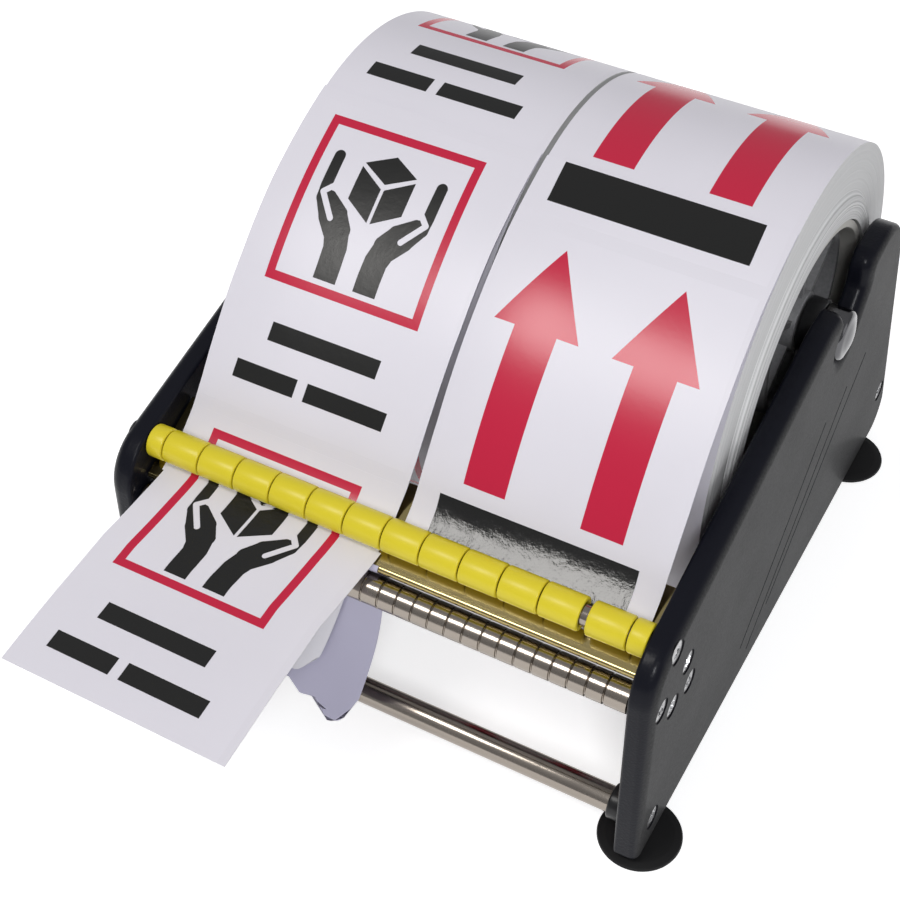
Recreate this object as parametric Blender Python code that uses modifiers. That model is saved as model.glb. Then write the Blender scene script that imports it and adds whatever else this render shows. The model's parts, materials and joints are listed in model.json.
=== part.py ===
"""Desktop dispenser for two rolls of shipping labels.

Two side plates carry a spindle with both rolls, a peel plate that parts each label from its
liner, a rod of loose sleeves that press the web onto the plate, and a grooved liner roller.
X runs across from the left plate to the right one, -Y is the front, and Z is up from the table.
A place in the plates' plane is a pair: depth behind the plates' front face, height above the table.
"""

import math

import bmesh
import bpy
from mathutils import Matrix

MM = 0.001
OBJECT_NAME = "shipping_label_dispenser"

# Clearances and working values
GAP = 0.3 * MM
NIP_GAP = 0.2 * MM
OVERRUN = 2.0 * MM
WELD = 0.001 * MM
FLAT_ANGLE = math.radians(0.5)
SHARP_ANGLE = math.radians(35)

# Facets round a full turn
ROLL_FACETS = 48
HUB_FACETS = 20
FOOT_FACETS = 16
SLEEVE_FACETS = 14
ROD_FACETS = 12
SCREW_FACETS = 10
ARC_STEP = math.radians(15)

# Rolls
ROLL_WIDTH = 58.8 * MM
ROLL_GAP = 1.2 * MM
ROLLS_OFFSET = -0.4 * MM
CORE_BORE_RADIUS = 38.1 * MM
CORE_WALL = 1.9 * MM
WOUND_DEPTH = 18.3 * MM
ROLL_EDGE = 0.4 * MM
TELESCOPE = 1.4 * MM
TELESCOPE_BAND = 5.0 * MM
TELESCOPE_LAYER = 1.6 * MM
ROLL_HANG = math.radians(24.2)

# Room round the rolls: to the plates, to the peel plate's flange and to the table
SIDE_ROOM = 3.2 * MM
FRONT_ROOM = 17.92 * MM
TABLE_ROOM = 4.64 * MM

# Side plates, their upper corners measured from the spindle and the nose from the pressure rod
PLATE_THICKNESS = 6.0 * MM
PLATE_BOTTOM = 3.0 * MM
PLATE_BEHIND = 58.2 * MM
NOSE_ABOVE = 1.6 * MM
SHOULDER_AHEAD = 14.6 * MM
SHOULDER_ABOVE = 11.2 * MM
LOBE_BEHIND = 37.3 * MM
LOBE_ABOVE = 13.1 * MM
NOSE_RADIUS = 12.5 * MM
SHOULDER_RADIUS = 25.0 * MM
LOBE_RADIUS = 16.0 * MM
HEEL_RADIUS = 8.0 * MM
TOE_RADIUS = 4.0 * MM
TIP_RADIUS = 2.0 * MM
EDGE_ROUNDING = 1.2 * MM
CORNER_ANGLE = math.radians(60)

# Spindle and its slots
SLOT_ANGLE = math.radians(49.55)
HOOK_REACH = 8.1 * MM
KNEE_REACH = 12.3 * MM
END_RADIUS = 6.35 * MM
END_PROUD = 0.7 * MM
END_DOME = 0.6 * MM
END_DOME_SHARES = (0.6, 0.7)
END_CHAMFER = 0.7 * MM
SPINDLE_RADIUS = 3.2 * MM
END_SOCKET = 5.0 * MM
COLLAR_RADIUS = 6.9 * MM
COLLAR_CHAMFER = 0.6 * MM

# Hubs that the rolls hang on
HUB_RADIUS = 23.7 * MM
HUB_WIDTH = 10.0 * MM
HUB_RIM = 2.0 * MM
HUB_BOSS_RADIUS = 7.5 * MM
HUB_WEB = 2.0 * MM
HUB_RIB = 1.6 * MM
HUB_RIB_INSET = 1.0 * MM
HUB_RIB_COUNT = 6
HUB_INSET = 1.6 * MM

# Pressure rod and its loose sleeves
PRESSURE_DEPTH = 10.3 * MM
PRESSURE_HEIGHT = 65.5 * MM
PRESSURE_ROD_RADIUS = 2.5 * MM
SLEEVE_RADIUS = 3.95 * MM
SLEEVE_CHAMFER = 0.45 * MM
END_SLEEVE = 4.455 * MM
LONG_SLEEVE_COUNT = 12
COUNT_BEFORE_BARE_ROD = 11
BARE_ROD = 1.45 * MM

# Peel plate and the bar behind it, heights measured down from the pressure rod
PEEL_SLOPE = math.radians(22)
PEEL_EDGE_DEPTH = 5.5 * MM
PEEL_SHEET = 1.0 * MM
PEEL_HEM = 2.4 * MM
PEEL_FLANGE = 13.0 * MM
HEM_STEP_COUNT = 8
BAR_FRONT = 9.2 * MM
BAR_DEPTH = 14.8 * MM
BAR_BELOW = 24.5 * MM
BAR_LIP_BELOW = 16.9 * MM
BAR_LIP = 0.8 * MM
BAR_CHAMFER = 2.0 * MM

# Liner roller
LINER_ROLLER_DEPTH = 4.2 * MM
LINER_ROLLER_BELOW = 12.6 * MM
LINER_ROLLER_RADIUS = 3.6 * MM
LINER_SHAFT_RADIUS = 2.3 * MM
GROOVE_PITCH = 4.22 * MM
FIRST_GROOVE = 4.5 * MM
GROOVE_WIDTH = 0.5 * MM
GROOVE_DEPTH = 0.35 * MM
LAST_GROOVE_SHARE = 0.33

# Tie rods
FRONT_TIE_DEPTH = 6.4 * MM
FRONT_TIE_HEIGHT = 10.8 * MM
REAR_TIE_INSET = 8.6 * MM
REAR_TIE_HEIGHT = 16.7 * MM
TIE_RADIUS = 3.175 * MM
TIE_COLLAR_RADIUS = 4.2 * MM
TIE_COLLAR_WIDTH = 3.6 * MM
TIE_COLLAR_CHAMFER = 0.3 * MM

# Screws, all alike
SCREW_HEAD_RADIUS = 2.75 * MM
SCREW_HEAD_EDGE = 0.25 * MM
SCREW_RADIUS = 1.4 * MM
SCREW_REACH = 8.0 * MM
SCREW_CLEARANCE = 0.25 * MM
SCREW_RECESS_WIDTH = 0.8 * MM
SCREW_RECESS_LENGTH = 3.0 * MM
SCREW_RECESS_DEPTH = 0.9 * MM

# Depth of each bar screw and its height below the pressure rod
BAR_SCREWS = {
    "bar_upper": (17.9 * MM, 11.5 * MM),
    "bar_lower": (20.4 * MM, 21.0 * MM),
    "bar_front": (10.9 * MM, 18.9 * MM),
}

# Suction feet
FOOT_RADIUS = 10.0 * MM
FOOT_RIM_HEIGHT = 0.9 * MM
FOOT_RIM_WIDTH = 1.8 * MM
FOOT_SHOULDER_RADIUS = 3.0 * MM
FOOT_HOLLOW = 1.3 * MM
FOOT_STEM_RADIUS = 1.7 * MM
FOOT_STEM_LENGTH = 5.0 * MM
FRONT_FOOT_DEPTH = 7.7 * MM
REAR_FOOT_INSET = 20.4 * MM

# Label web, peeled label and spent liner
WEB_THICKNESS = 0.25 * MM
WEB_LEAVE_ANGLE = math.radians(107)
WEB_KNEE_BEHIND = 10.7 * MM
WEB_KNEE_ABOVE = 8.9 * MM
WEB_KNEE_SLOPE = math.radians(60)
WEB_UPPER_SHARES = (0.36, 0.36)
WEB_LOWER_SHARES = (0.35, 0.35)
WEB_END = 1.9 * MM
IDLE_WEB_END = 1.6 * MM
WEB_STEP_COUNT = 14
LABEL_THICKNESS = 0.2 * MM
LABEL_START = 3.0 * MM
LABEL_REACH = 50.4 * MM
LABEL_TIP_BELOW = 13.3 * MM
LABEL_TIP_SLOPE = math.radians(6)
LABEL_SHARES = (0.12, 0.5)
LINER_THICKNESS = 0.15 * MM
LINER_CHANNEL_SWING = math.radians(14)
LINER_CHANNEL_SLOPE = math.radians(84)
LINER_END_FORWARD = 7.5 * MM
LINER_END_HEIGHT = 18.0 * MM
LINER_END_SLOPE = math.radians(42)
LINER_SHARES = (0.4, 0.35)

# Colour, roughness and metallic value of each finish
FINISHES = {
    "charcoal_enamel": ((0.085, 0.085, 0.09), 0.5, 0.0),
    "polished_steel": ((0.62, 0.58, 0.52), 0.2, 1.0),
    "chrome": ((0.75, 0.75, 0.77), 0.12, 1.0),
    "screw_steel": ((0.6, 0.6, 0.6), 0.35, 1.0),
    "bar_aluminium": ((0.5, 0.5, 0.5), 0.4, 1.0),
    "yellow_plastic": ((0.72, 0.6, 0.03), 0.35, 0.0),
    "black_plastic": ((0.02, 0.02, 0.022), 0.4, 0.0),
    "hub_plastic": ((0.06, 0.06, 0.065), 0.45, 0.0),
    "black_rubber": ((0.012, 0.012, 0.013), 0.6, 0.0),
    "core_board": ((0.42, 0.38, 0.33), 0.85, 0.0),
    "label_paper": ((0.78, 0.77, 0.82), 0.5, 0.0),
    "liner_paper": ((0.55, 0.55, 0.66), 0.45, 0.0),
}

# Sizes that follow from those above
ROLL_RADIUS = CORE_BORE_RADIUS + CORE_WALL + GAP + WOUND_DEPTH
INNER_WIDTH = 2 * (ROLL_WIDTH + SIDE_ROOM) + ROLL_GAP
HALF_WIDTH = INNER_WIDTH / 2
PLATE_OUTSIDE = HALF_WIDTH + PLATE_THICKNESS
HUB_PLAY = CORE_BORE_RADIUS - HUB_RADIUS - GAP
FLANGE_DEPTH = BAR_FRONT + BAR_DEPTH + GAP + PEEL_SHEET
SPINDLE_DEPTH = FLANGE_DEPTH + FRONT_ROOM + ROLL_RADIUS + HUB_PLAY * math.sin(ROLL_HANG)
SPINDLE_HEIGHT = TABLE_ROOM + ROLL_RADIUS + HUB_PLAY * math.cos(ROLL_HANG)
PLATE_DEPTH = SPINDLE_DEPTH + PLATE_BEHIND
NOSE_HEIGHT = PRESSURE_HEIGHT + NOSE_ABOVE
LINER_ROLLER_HEIGHT = PRESSURE_HEIGHT - LINER_ROLLER_BELOW
BAR_BOTTOM = PRESSURE_HEIGHT - BAR_BELOW
BAR_LIP_HEIGHT = PRESSURE_HEIGHT - BAR_LIP_BELOW
SLEEVE_PITCH = (INNER_WIDTH - 2 * END_SLEEVE - BARE_ROD) / LONG_SLEEVE_COUNT
SLOT_HALF = END_RADIUS + GAP
SCREW_BORE = SCREW_RADIUS + SCREW_CLEARANCE


def clear_scene():
    """Empty the scene, so that the script can run again."""
    for old in list(bpy.data.objects):
        bpy.data.objects.remove(old, do_unlink=True)


def new_collection(name, hidden=False):
    """Make a collection in the scene; a hidden one holds cutters."""
    found = bpy.data.collections.new(name)
    found.hide_render = hidden
    bpy.context.scene.collection.children.link(found)
    return found


def finish(name):
    """Return the material of a finish, made on its first use."""
    if name in bpy.data.materials:
        return bpy.data.materials[name]
    colour, roughness, metallic = FINISHES[name]
    made = bpy.data.materials.new(name)
    made.use_nodes = True
    shader = made.node_tree.nodes["Principled BSDF"]
    shader.inputs["Base Color"].default_value = (*colour, 1.0)
    shader.inputs["Roughness"].default_value = roughness
    shader.inputs["Metallic"].default_value = metallic
    made.diffuse_color = (*colour, 1.0)
    return made


def added(name, mesh, finish_name, place=Matrix()):
    """Put a mesh into the part's collection as a named object."""
    mesh.materials.clear()
    mesh.materials.append(finish(finish_name))
    mesh.shade_smooth()
    mesh.set_sharp_from_angle(angle=SHARP_ANGLE)
    obj = bpy.data.objects.new(name, mesh)
    obj.matrix_world = place
    parts.objects.link(obj)
    return obj


def cutter(name, mesh, place=Matrix()):
    """Put a mesh into the cutters' collection, out of the render."""
    obj = bpy.data.objects.new(name, mesh)
    obj.matrix_world = place
    obj.hide_render = True
    obj.display_type = "WIRE"
    cutters.objects.link(obj)
    return obj


def boolean(obj, tool, operation="DIFFERENCE"):
    """Cut a tool from an object, or join it on."""
    modifier = obj.modifiers.new(operation.lower(), "BOOLEAN")
    modifier.operation = operation
    modifier.solver = "EXACT"
    modifier.object = tool


def place_at(along, depth, height):
    """Return the move to a point given by its X, its depth and its height."""
    return Matrix.Translation((along, FRONT_Y + depth, height))


def mesh_from(bm, name):
    """Close a bmesh with its faces pointing out and return it as a mesh."""
    bmesh.ops.remove_doubles(bm, verts=bm.verts, dist=WELD)
    bmesh.ops.recalc_face_normals(bm, faces=bm.faces)
    mesh = bpy.data.meshes.new(name)
    bm.to_mesh(mesh)
    bm.free()
    return mesh


def turned(name, profile, facets):
    """Turn (radius, along) points about X; a profile that starts on the axis ends on it."""
    bm = bmesh.new()
    corners = [bm.verts.new((along, 0, radius)) for radius, along in profile]
    sides = [bm.edges.new(pair) for pair in zip(corners, corners[1:])]
    if profile[0][0] > 0:
        sides.append(bm.edges.new((corners[-1], corners[0])))
    bmesh.ops.spin(
        bm,
        geom=corners + sides,
        cent=(0, 0, 0),
        axis=(1, 0, 0),
        angle=math.tau,
        steps=facets,
    )
    return mesh_from(bm, name)


def tube(name, outer, inner, length, chamfer, facets):
    """Turn a straight tube about X, centred on its length, with chamfered outer ends."""
    half = length / 2
    profile = [
        (inner, -half),
        (outer - chamfer, -half),
        (outer, -half + chamfer),
        (outer, half - chamfer),
        (outer - chamfer, half),
        (inner, half),
    ]
    return turned(name, profile, facets)


def rod(name, radius, length, bore, bore_depth):
    """Turn a solid rod about X with a blind screw bore in each end."""
    half = length / 2
    profile = [
        (0, bore_depth - half),
        (bore, bore_depth - half),
        (bore, -half),
        (radius, -half),
        (radius, half),
        (bore, half),
        (bore, half - bore_depth),
        (0, half - bore_depth),
    ]
    return turned(name, profile, ROD_FACETS)


def boxes(name, places, size):
    """Return one mesh of equal boxes, one for each matrix."""
    bm = bmesh.new()
    for place in places:
        bmesh.ops.create_cube(bm, size=1, matrix=place @ Matrix.Diagonal((*size, 1)))
    return mesh_from(bm, name)


def repeated(name, mesh, places):
    """Return one mesh of separate copies of a mesh, one for each matrix."""
    bm = bmesh.new()
    for place in places:
        before = len(bm.verts)
        bm.from_mesh(mesh)
        bm.verts.ensure_lookup_table()
        bmesh.ops.transform(bm, matrix=place, verts=bm.verts[before:])
    return mesh_from(bm, name)


def rounded(corners):
    """Return the points of a closed outline whose (depth, height, radius) corners are arcs."""
    points = []
    for index, (depth, height, radius) in enumerate(corners):
        back = corners[index - 1]
        ahead = corners[(index + 1) % len(corners)]
        to_back = math.atan2(back[1] - height, back[0] - depth)
        to_ahead = math.atan2(ahead[1] - height, ahead[0] - depth)
        opening = (to_ahead - to_back) % math.tau
        middle = to_back + opening / 2
        half = min(opening, math.tau - opening) / 2
        if opening > math.pi:
            middle += math.pi
        out = radius / math.sin(half)
        centre = (depth + out * math.cos(middle), height + out * math.sin(middle))
        turn = math.pi - 2 * half
        steps = max(1, math.ceil(turn / ARC_STEP))
        sign = -1 if opening > math.pi else 1
        for step in range(steps + 1):
            angle = middle + math.pi - sign * turn * (step / steps - 0.5)
            point = (
                centre[0] + radius * math.cos(angle),
                centre[1] + radius * math.sin(angle),
            )
            if not points or math.dist(point, points[-1]) > WELD:
                points.append(point)
    return points


def extruded(name, outline, left, right):
    """Extrude a closed outline of (depth, height) points along X, as a mesh in the world."""
    curve = bpy.data.curves.new(name, "CURVE")
    curve.dimensions = "2D"
    curve.fill_mode = "BOTH"
    curve.extrude = (right - left) / 2
    spline = curve.splines.new("POLY")
    spline.points.add(len(outline[1:]))
    for point, (depth, height) in zip(spline.points, outline):
        point.co = (FRONT_Y + depth, height, 0, 1)
    spline.use_cyclic_u = True
    guide = bpy.data.objects.new(name, curve)
    guide.matrix_world = Matrix(
        ((0, 0, 1, (left + right) / 2), (1, 0, 0, 0), (0, 1, 0, 0), (0, 0, 0, 1))
    )
    bpy.context.scene.collection.objects.link(guide)
    bpy.context.view_layer.update()
    graph = bpy.context.evaluated_depsgraph_get()
    solid = bpy.data.meshes.new_from_object(guide.evaluated_get(graph))
    solid.transform(guide.matrix_world)
    bpy.data.objects.remove(guide, do_unlink=True)
    bm = bmesh.new()
    bm.from_mesh(solid)
    bmesh.ops.remove_doubles(bm, verts=bm.verts, dist=WELD)
    bmesh.ops.dissolve_limit(
        bm, angle_limit=FLAT_ANGLE, verts=bm.verts, edges=bm.edges
    )
    return mesh_from(bm, name)


def bezier(start, start_slope, end, end_slope, shares):
    """Return points from start to end; both slopes point the way the sheet runs, forwards and down."""
    span = math.dist(start, end)
    first = (
        start[0] - shares[0] * span * math.cos(start_slope),
        start[1] - shares[0] * span * math.sin(start_slope),
    )
    second = (
        end[0] + shares[1] * span * math.cos(end_slope),
        end[1] + shares[1] * span * math.sin(end_slope),
    )
    points = []
    for step in range(WEB_STEP_COUNT + 1):
        t = step / WEB_STEP_COUNT
        weights = ((1 - t) ** 3, 3 * t * (1 - t) ** 2, 3 * t * t * (1 - t), t**3)
        corners = (start, first, second, end)
        depth = sum(weight * corner[0] for weight, corner in zip(weights, corners))
        height = sum(weight * corner[1] for weight, corner in zip(weights, corners))
        points.append((depth, height))
    return points


def sheet_outline(route, thickness):
    """Return the closed outline of a sheet whose middle follows a route of points."""
    near = []
    far = []
    for index, (depth, height) in enumerate(route):
        back = route[max(index - 1, 0)]
        ahead = route[min(index + 1, len(route) - 1)]
        direction = math.atan2(ahead[1] - back[1], ahead[0] - back[0])
        across = (
            thickness / 2 * math.sin(direction),
            -thickness / 2 * math.cos(direction),
        )
        near.append((depth + across[0], height + across[1]))
        far.append((depth - across[0], height - across[1]))
    return near + far[::-1]


def slot_point(along, across):
    """Return a point by its distance along the slot from the seat and to the rear of its middle."""
    return (
        SPINDLE_DEPTH + along * math.cos(SLOT_ANGLE) + across * math.sin(SLOT_ANGLE),
        SPINDLE_HEIGHT + along * math.sin(SLOT_ANGLE) - across * math.cos(SLOT_ANGLE),
    )


def plate_outline():
    """Return the side plate's outline, front bottom corner first, running to the rear."""
    knee = slot_point(KNEE_REACH, SLOT_HALF)
    hook = slot_point(HOOK_REACH, -SLOT_HALF)
    seat_rear = slot_point(-SLOT_HALF, SLOT_HALF)
    seat_front = slot_point(-SLOT_HALF, -SLOT_HALF)
    shoulder = (SPINDLE_DEPTH - SHOULDER_AHEAD, SPINDLE_HEIGHT + SHOULDER_ABOVE)
    lobe_height = SPINDLE_HEIGHT + LOBE_ABOVE
    corners = [
        (0, PLATE_BOTTOM, TOE_RADIUS),
        (PLATE_DEPTH, PLATE_BOTTOM, HEEL_RADIUS),
        (SPINDLE_DEPTH + LOBE_BEHIND, lobe_height, LOBE_RADIUS),
        (knee[0], lobe_height, TIP_RADIUS),
        (*knee, TIP_RADIUS),
        (*seat_rear, SLOT_HALF),
        (*seat_front, SLOT_HALF),
        (*hook, TIP_RADIUS),
        (*shoulder, SHOULDER_RADIUS),
        (0, NOSE_HEIGHT, NOSE_RADIUS),
    ]
    return rounded(corners)


PLATE_OUTLINE = plate_outline()
REAR_DEPTH = max(depth for depth, height in PLATE_OUTLINE)
FRONT_Y = (LABEL_REACH - REAR_DEPTH) / 2

BAR_PLACES = {
    name: (depth, PRESSURE_HEIGHT - below) for name, (depth, below) in BAR_SCREWS.items()
}
SCREW_PLACES = {
    "pressure_rod": (PRESSURE_DEPTH, PRESSURE_HEIGHT),
    **BAR_PLACES,
    "liner_shaft": (LINER_ROLLER_DEPTH, LINER_ROLLER_HEIGHT),
    "front_tie": (FRONT_TIE_DEPTH, FRONT_TIE_HEIGHT),
    "rear_tie": (PLATE_DEPTH - REAR_TIE_INSET, REAR_TIE_HEIGHT),
}
FOOT_DEPTHS = {"front": FRONT_FOOT_DEPTH, "rear": PLATE_DEPTH - REAR_FOOT_INSET}
SIDES = {"left": -1, "right": 1}


def screw_profile():
    """Return a countersunk screw along X, with its head's face at the origin and its point at -X."""
    cone = SCREW_HEAD_RADIUS - SCREW_RADIUS
    return [
        (0, 0),
        (SCREW_HEAD_RADIUS, 0),
        (SCREW_HEAD_RADIUS, -SCREW_HEAD_EDGE),
        (SCREW_RADIUS, -SCREW_HEAD_EDGE - cone),
        (SCREW_RADIUS, -PLATE_THICKNESS - SCREW_REACH),
        (0, -PLATE_THICKNESS - SCREW_REACH),
    ]


def screw_hole_mesh():
    """Countersunk clearance hole for a screw, open past both faces of the plate."""
    wide = SCREW_HEAD_RADIUS + SCREW_CLEARANCE
    cone = wide - SCREW_BORE
    profile = [
        (0, OVERRUN),
        (wide, OVERRUN),
        (wide, -SCREW_HEAD_EDGE - SCREW_CLEARANCE),
        (SCREW_BORE, -SCREW_HEAD_EDGE - SCREW_CLEARANCE - cone),
        (SCREW_BORE, -PLATE_THICKNESS - OVERRUN),
        (0, -PLATE_THICKNESS - OVERRUN),
    ]
    return turned("screw_hole", profile, SCREW_FACETS)


def facing(side, along, depth, height):
    """Return the move to a point of a plate, turned round for the left one."""
    turn = Matrix.Rotation(0 if side > 0 else math.pi, 4, "Z")
    return place_at(side * along, depth, height) @ turn


def upright(along, depth, height):
    """Return the move to a point with a piece's X axis turned to point up."""
    return place_at(along, depth, height) @ Matrix.Rotation(-math.pi / 2, 4, "Y")


def add_side_plates():
    """Add both plates, with countersunk holes and holes for the feet's stems."""
    stem_hole_top = FOOT_STEM_LENGTH + GAP
    stem_hole = turned(
        "stem_hole",
        [
            (0, -OVERRUN),
            (FOOT_STEM_RADIUS + GAP, -OVERRUN),
            (FOOT_STEM_RADIUS + GAP, stem_hole_top),
            (0, stem_hole_top),
        ],
        SCREW_FACETS,
    )
    for name, side in SIDES.items():
        inner, outer = sorted((side * HALF_WIDTH, side * PLATE_OUTSIDE))
        plate = added(
            f"side_plate_{name}",
            extruded(f"side_plate_{name}", PLATE_OUTLINE, inner, outer),
            "charcoal_enamel",
        )
        bevel = plate.modifiers.new("edge_rounding", "BEVEL")
        bevel.width = EDGE_ROUNDING
        bevel.segments = 1
        bevel.limit_method = "ANGLE"
        bevel.angle_limit = CORNER_ANGLE
        holes = [facing(side, PLATE_OUTSIDE, *place) for place in SCREW_PLACES.values()]
        screw_holes = repeated(f"screw_holes_{name}", screw_hole_mesh(), holes)
        boolean(plate, cutter(f"screw_holes_{name}", screw_holes))
        middle = side * (HALF_WIDTH + PLATE_THICKNESS / 2)
        stems = [upright(middle, depth, PLATE_BOTTOM) for depth in FOOT_DEPTHS.values()]
        stem_holes = repeated(f"stem_holes_{name}", stem_hole, stems)
        boolean(plate, cutter(f"stem_holes_{name}", stem_holes))


def add_screws():
    """Add the seven countersunk cross-head screws of each plate, all sharing one mesh."""
    blank = bpy.data.objects.new("screw_blank", turned("screw", screw_profile(), SCREW_FACETS))
    cutters.objects.link(blank)
    arm = (2 * SCREW_RECESS_DEPTH, SCREW_RECESS_WIDTH, SCREW_RECESS_LENGTH)
    for turn in (0, math.pi / 2):
        mesh = boxes("recess_arm", [Matrix.Rotation(turn, 4, "X")], arm)
        boolean(blank, cutter("recess_arm", mesh))
    bpy.context.view_layer.update()
    graph = bpy.context.evaluated_depsgraph_get()
    screw = bpy.data.meshes.new_from_object(blank.evaluated_get(graph))
    bpy.data.objects.remove(blank, do_unlink=True)
    face = PLATE_OUTSIDE - SCREW_CLEARANCE / 2
    for name, side in SIDES.items():
        for use, place in SCREW_PLACES.items():
            added(f"screw_{use}_{name}", screw, "screw_steel", facing(side, face, *place))


def add_feet():
    """Add four suction feet, each with a stem in the plate's bottom edge."""
    shoulder = PLATE_BOTTOM - GAP
    profile = [
        (0, shoulder + FOOT_STEM_LENGTH),
        (FOOT_STEM_RADIUS, shoulder + FOOT_STEM_LENGTH),
        (FOOT_STEM_RADIUS, shoulder),
        (FOOT_SHOULDER_RADIUS, shoulder),
        (FOOT_RADIUS, FOOT_RIM_HEIGHT),
        (FOOT_RADIUS, 0),
        (FOOT_RADIUS - FOOT_RIM_WIDTH, 0),
        (FOOT_SHOULDER_RADIUS, FOOT_HOLLOW),
        (0, FOOT_HOLLOW),
    ]
    for name, side in SIDES.items():
        middle = side * (HALF_WIDTH + PLATE_THICKNESS / 2)
        for end, depth in FOOT_DEPTHS.items():
            added(
                f"foot_{end}_{name}",
                turned(f"foot_{end}_{name}", profile, FOOT_FACETS),
                "black_rubber",
                upright(middle, depth, 0),
            )


def add_tie_rods():
    """Add the two tie rods, and the black collar on each end of the front one."""
    length = INNER_WIDTH - 2 * GAP
    for end in ("front", "rear"):
        node = f"{end}_tie_rod"
        mesh = rod(node, TIE_RADIUS, length, SCREW_BORE, SCREW_REACH + GAP)
        added(node, mesh, "polished_steel", place_at(0, *SCREW_PLACES[f"{end}_tie"]))
    for name, side in SIDES.items():
        node = f"front_tie_collar_{name}"
        collar = tube(
            node,
            TIE_COLLAR_RADIUS,
            TIE_RADIUS + GAP,
            TIE_COLLAR_WIDTH,
            TIE_COLLAR_CHAMFER,
            ROD_FACETS,
        )
        along = side * (HALF_WIDTH - GAP - TIE_COLLAR_WIDTH / 2)
        place = place_at(along, *SCREW_PLACES["front_tie"])
        added(node, collar, "black_plastic", place)


def add_pressure_rod():
    """Add the fixed pressure rod and the loose yellow sleeves that turn on it."""
    place = (PRESSURE_DEPTH, PRESSURE_HEIGHT)
    length = INNER_WIDTH - 2 * GAP
    mesh = rod("pressure_rod", PRESSURE_ROD_RADIUS, length, SCREW_BORE, SCREW_REACH + GAP)
    added("pressure_rod", mesh, "polished_steel", place_at(0, *place))
    spaces = [END_SLEEVE] + [SLEEVE_PITCH] * LONG_SLEEVE_COUNT + [END_SLEEVE]
    start = -HALF_WIDTH
    for index, space in enumerate(spaces):
        node = f"sleeve_{index + 1:02d}"
        mesh = tube(
            node,
            SLEEVE_RADIUS,
            PRESSURE_ROD_RADIUS + GAP,
            space - GAP,
            SLEEVE_CHAMFER,
            SLEEVE_FACETS,
        )
        along = start + space / 2
        added(node, mesh, "yellow_plastic", place_at(along, *place))
        start += space
        if index == COUNT_BEFORE_BARE_ROD:
            start += BARE_ROD


def nose_centre():
    """Return the middle of the peel plate's rounded front edge, one sheet under the nip."""
    depth = PEEL_EDGE_DEPTH + PEEL_SHEET
    below = SLEEVE_RADIUS + 2 * NIP_GAP + WEB_THICKNESS + PEEL_SHEET
    nip_depth = PRESSURE_DEPTH + below * math.sin(PEEL_SLOPE)
    nip_height = PRESSURE_HEIGHT - below * math.cos(PEEL_SLOPE)
    return (depth, nip_height - (nip_depth - depth) * math.tan(PEEL_SLOPE))


def on_slope(depth, above):
    """Return the point at a depth on a line parallel to the peel plate's top, above its underside."""
    middle = nose_centre()
    rise = (depth - middle[0]) * math.tan(PEEL_SLOPE)
    return (depth, middle[1] + rise + above / math.cos(PEEL_SLOPE))


def add_peel_plate():
    """Add the polished sheet that peels the labels, hemmed in front and bent down behind."""
    middle = nose_centre()
    inner = FLANGE_DEPTH - PEEL_SHEET
    top = on_slope(FLANGE_DEPTH, PEEL_SHEET)
    under = on_slope(inner, 0)
    hem_end = middle[0] + PEEL_HEM
    outline = [
        top,
        (FLANGE_DEPTH, top[1] - PEEL_FLANGE),
        (inner, top[1] - PEEL_FLANGE),
        under,
        on_slope(hem_end, 0),
        on_slope(hem_end, -PEEL_SHEET),
    ]
    for step in range(HEM_STEP_COUNT + 1):
        angle = PEEL_SLOPE - math.pi / 2 - math.pi * step / HEM_STEP_COUNT
        outline.append(
            (
                middle[0] + PEEL_SHEET * math.cos(angle),
                middle[1] + PEEL_SHEET * math.sin(angle),
            )
        )
    half = HALF_WIDTH - GAP
    mesh = extruded("peel_plate", outline, -half, half)
    added("peel_plate", mesh, "polished_steel")


def add_peel_bar():
    """Add the bar that backs the peel plate and takes three screws from each side."""
    rear = BAR_FRONT + BAR_DEPTH
    lip = BAR_FRONT - BAR_LIP
    outline = [
        on_slope(rear, -GAP),
        (rear, BAR_BOTTOM),
        (lip + BAR_CHAMFER, BAR_BOTTOM),
        (lip, BAR_BOTTOM + BAR_CHAMFER),
        (lip, BAR_LIP_HEIGHT - BAR_LIP),
        (BAR_FRONT, BAR_LIP_HEIGHT),
        on_slope(BAR_FRONT, -GAP),
    ]
    half = HALF_WIDTH - GAP
    bar = added("peel_bar", extruded("peel_bar", outline, -half, half), "bar_aluminium")
    reach = SCREW_REACH + GAP
    profile = [
        (0, OVERRUN),
        (SCREW_BORE, OVERRUN),
        (SCREW_BORE, -reach),
        (0, -reach),
    ]
    bore = turned("bar_bore", profile, SCREW_FACETS)
    places = []
    for side in SIDES.values():
        for place in BAR_PLACES.values():
            places.append(facing(side, half, *place))
    boolean(bar, cutter("bar_bores", repeated("bar_bores", bore, places)))


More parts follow.
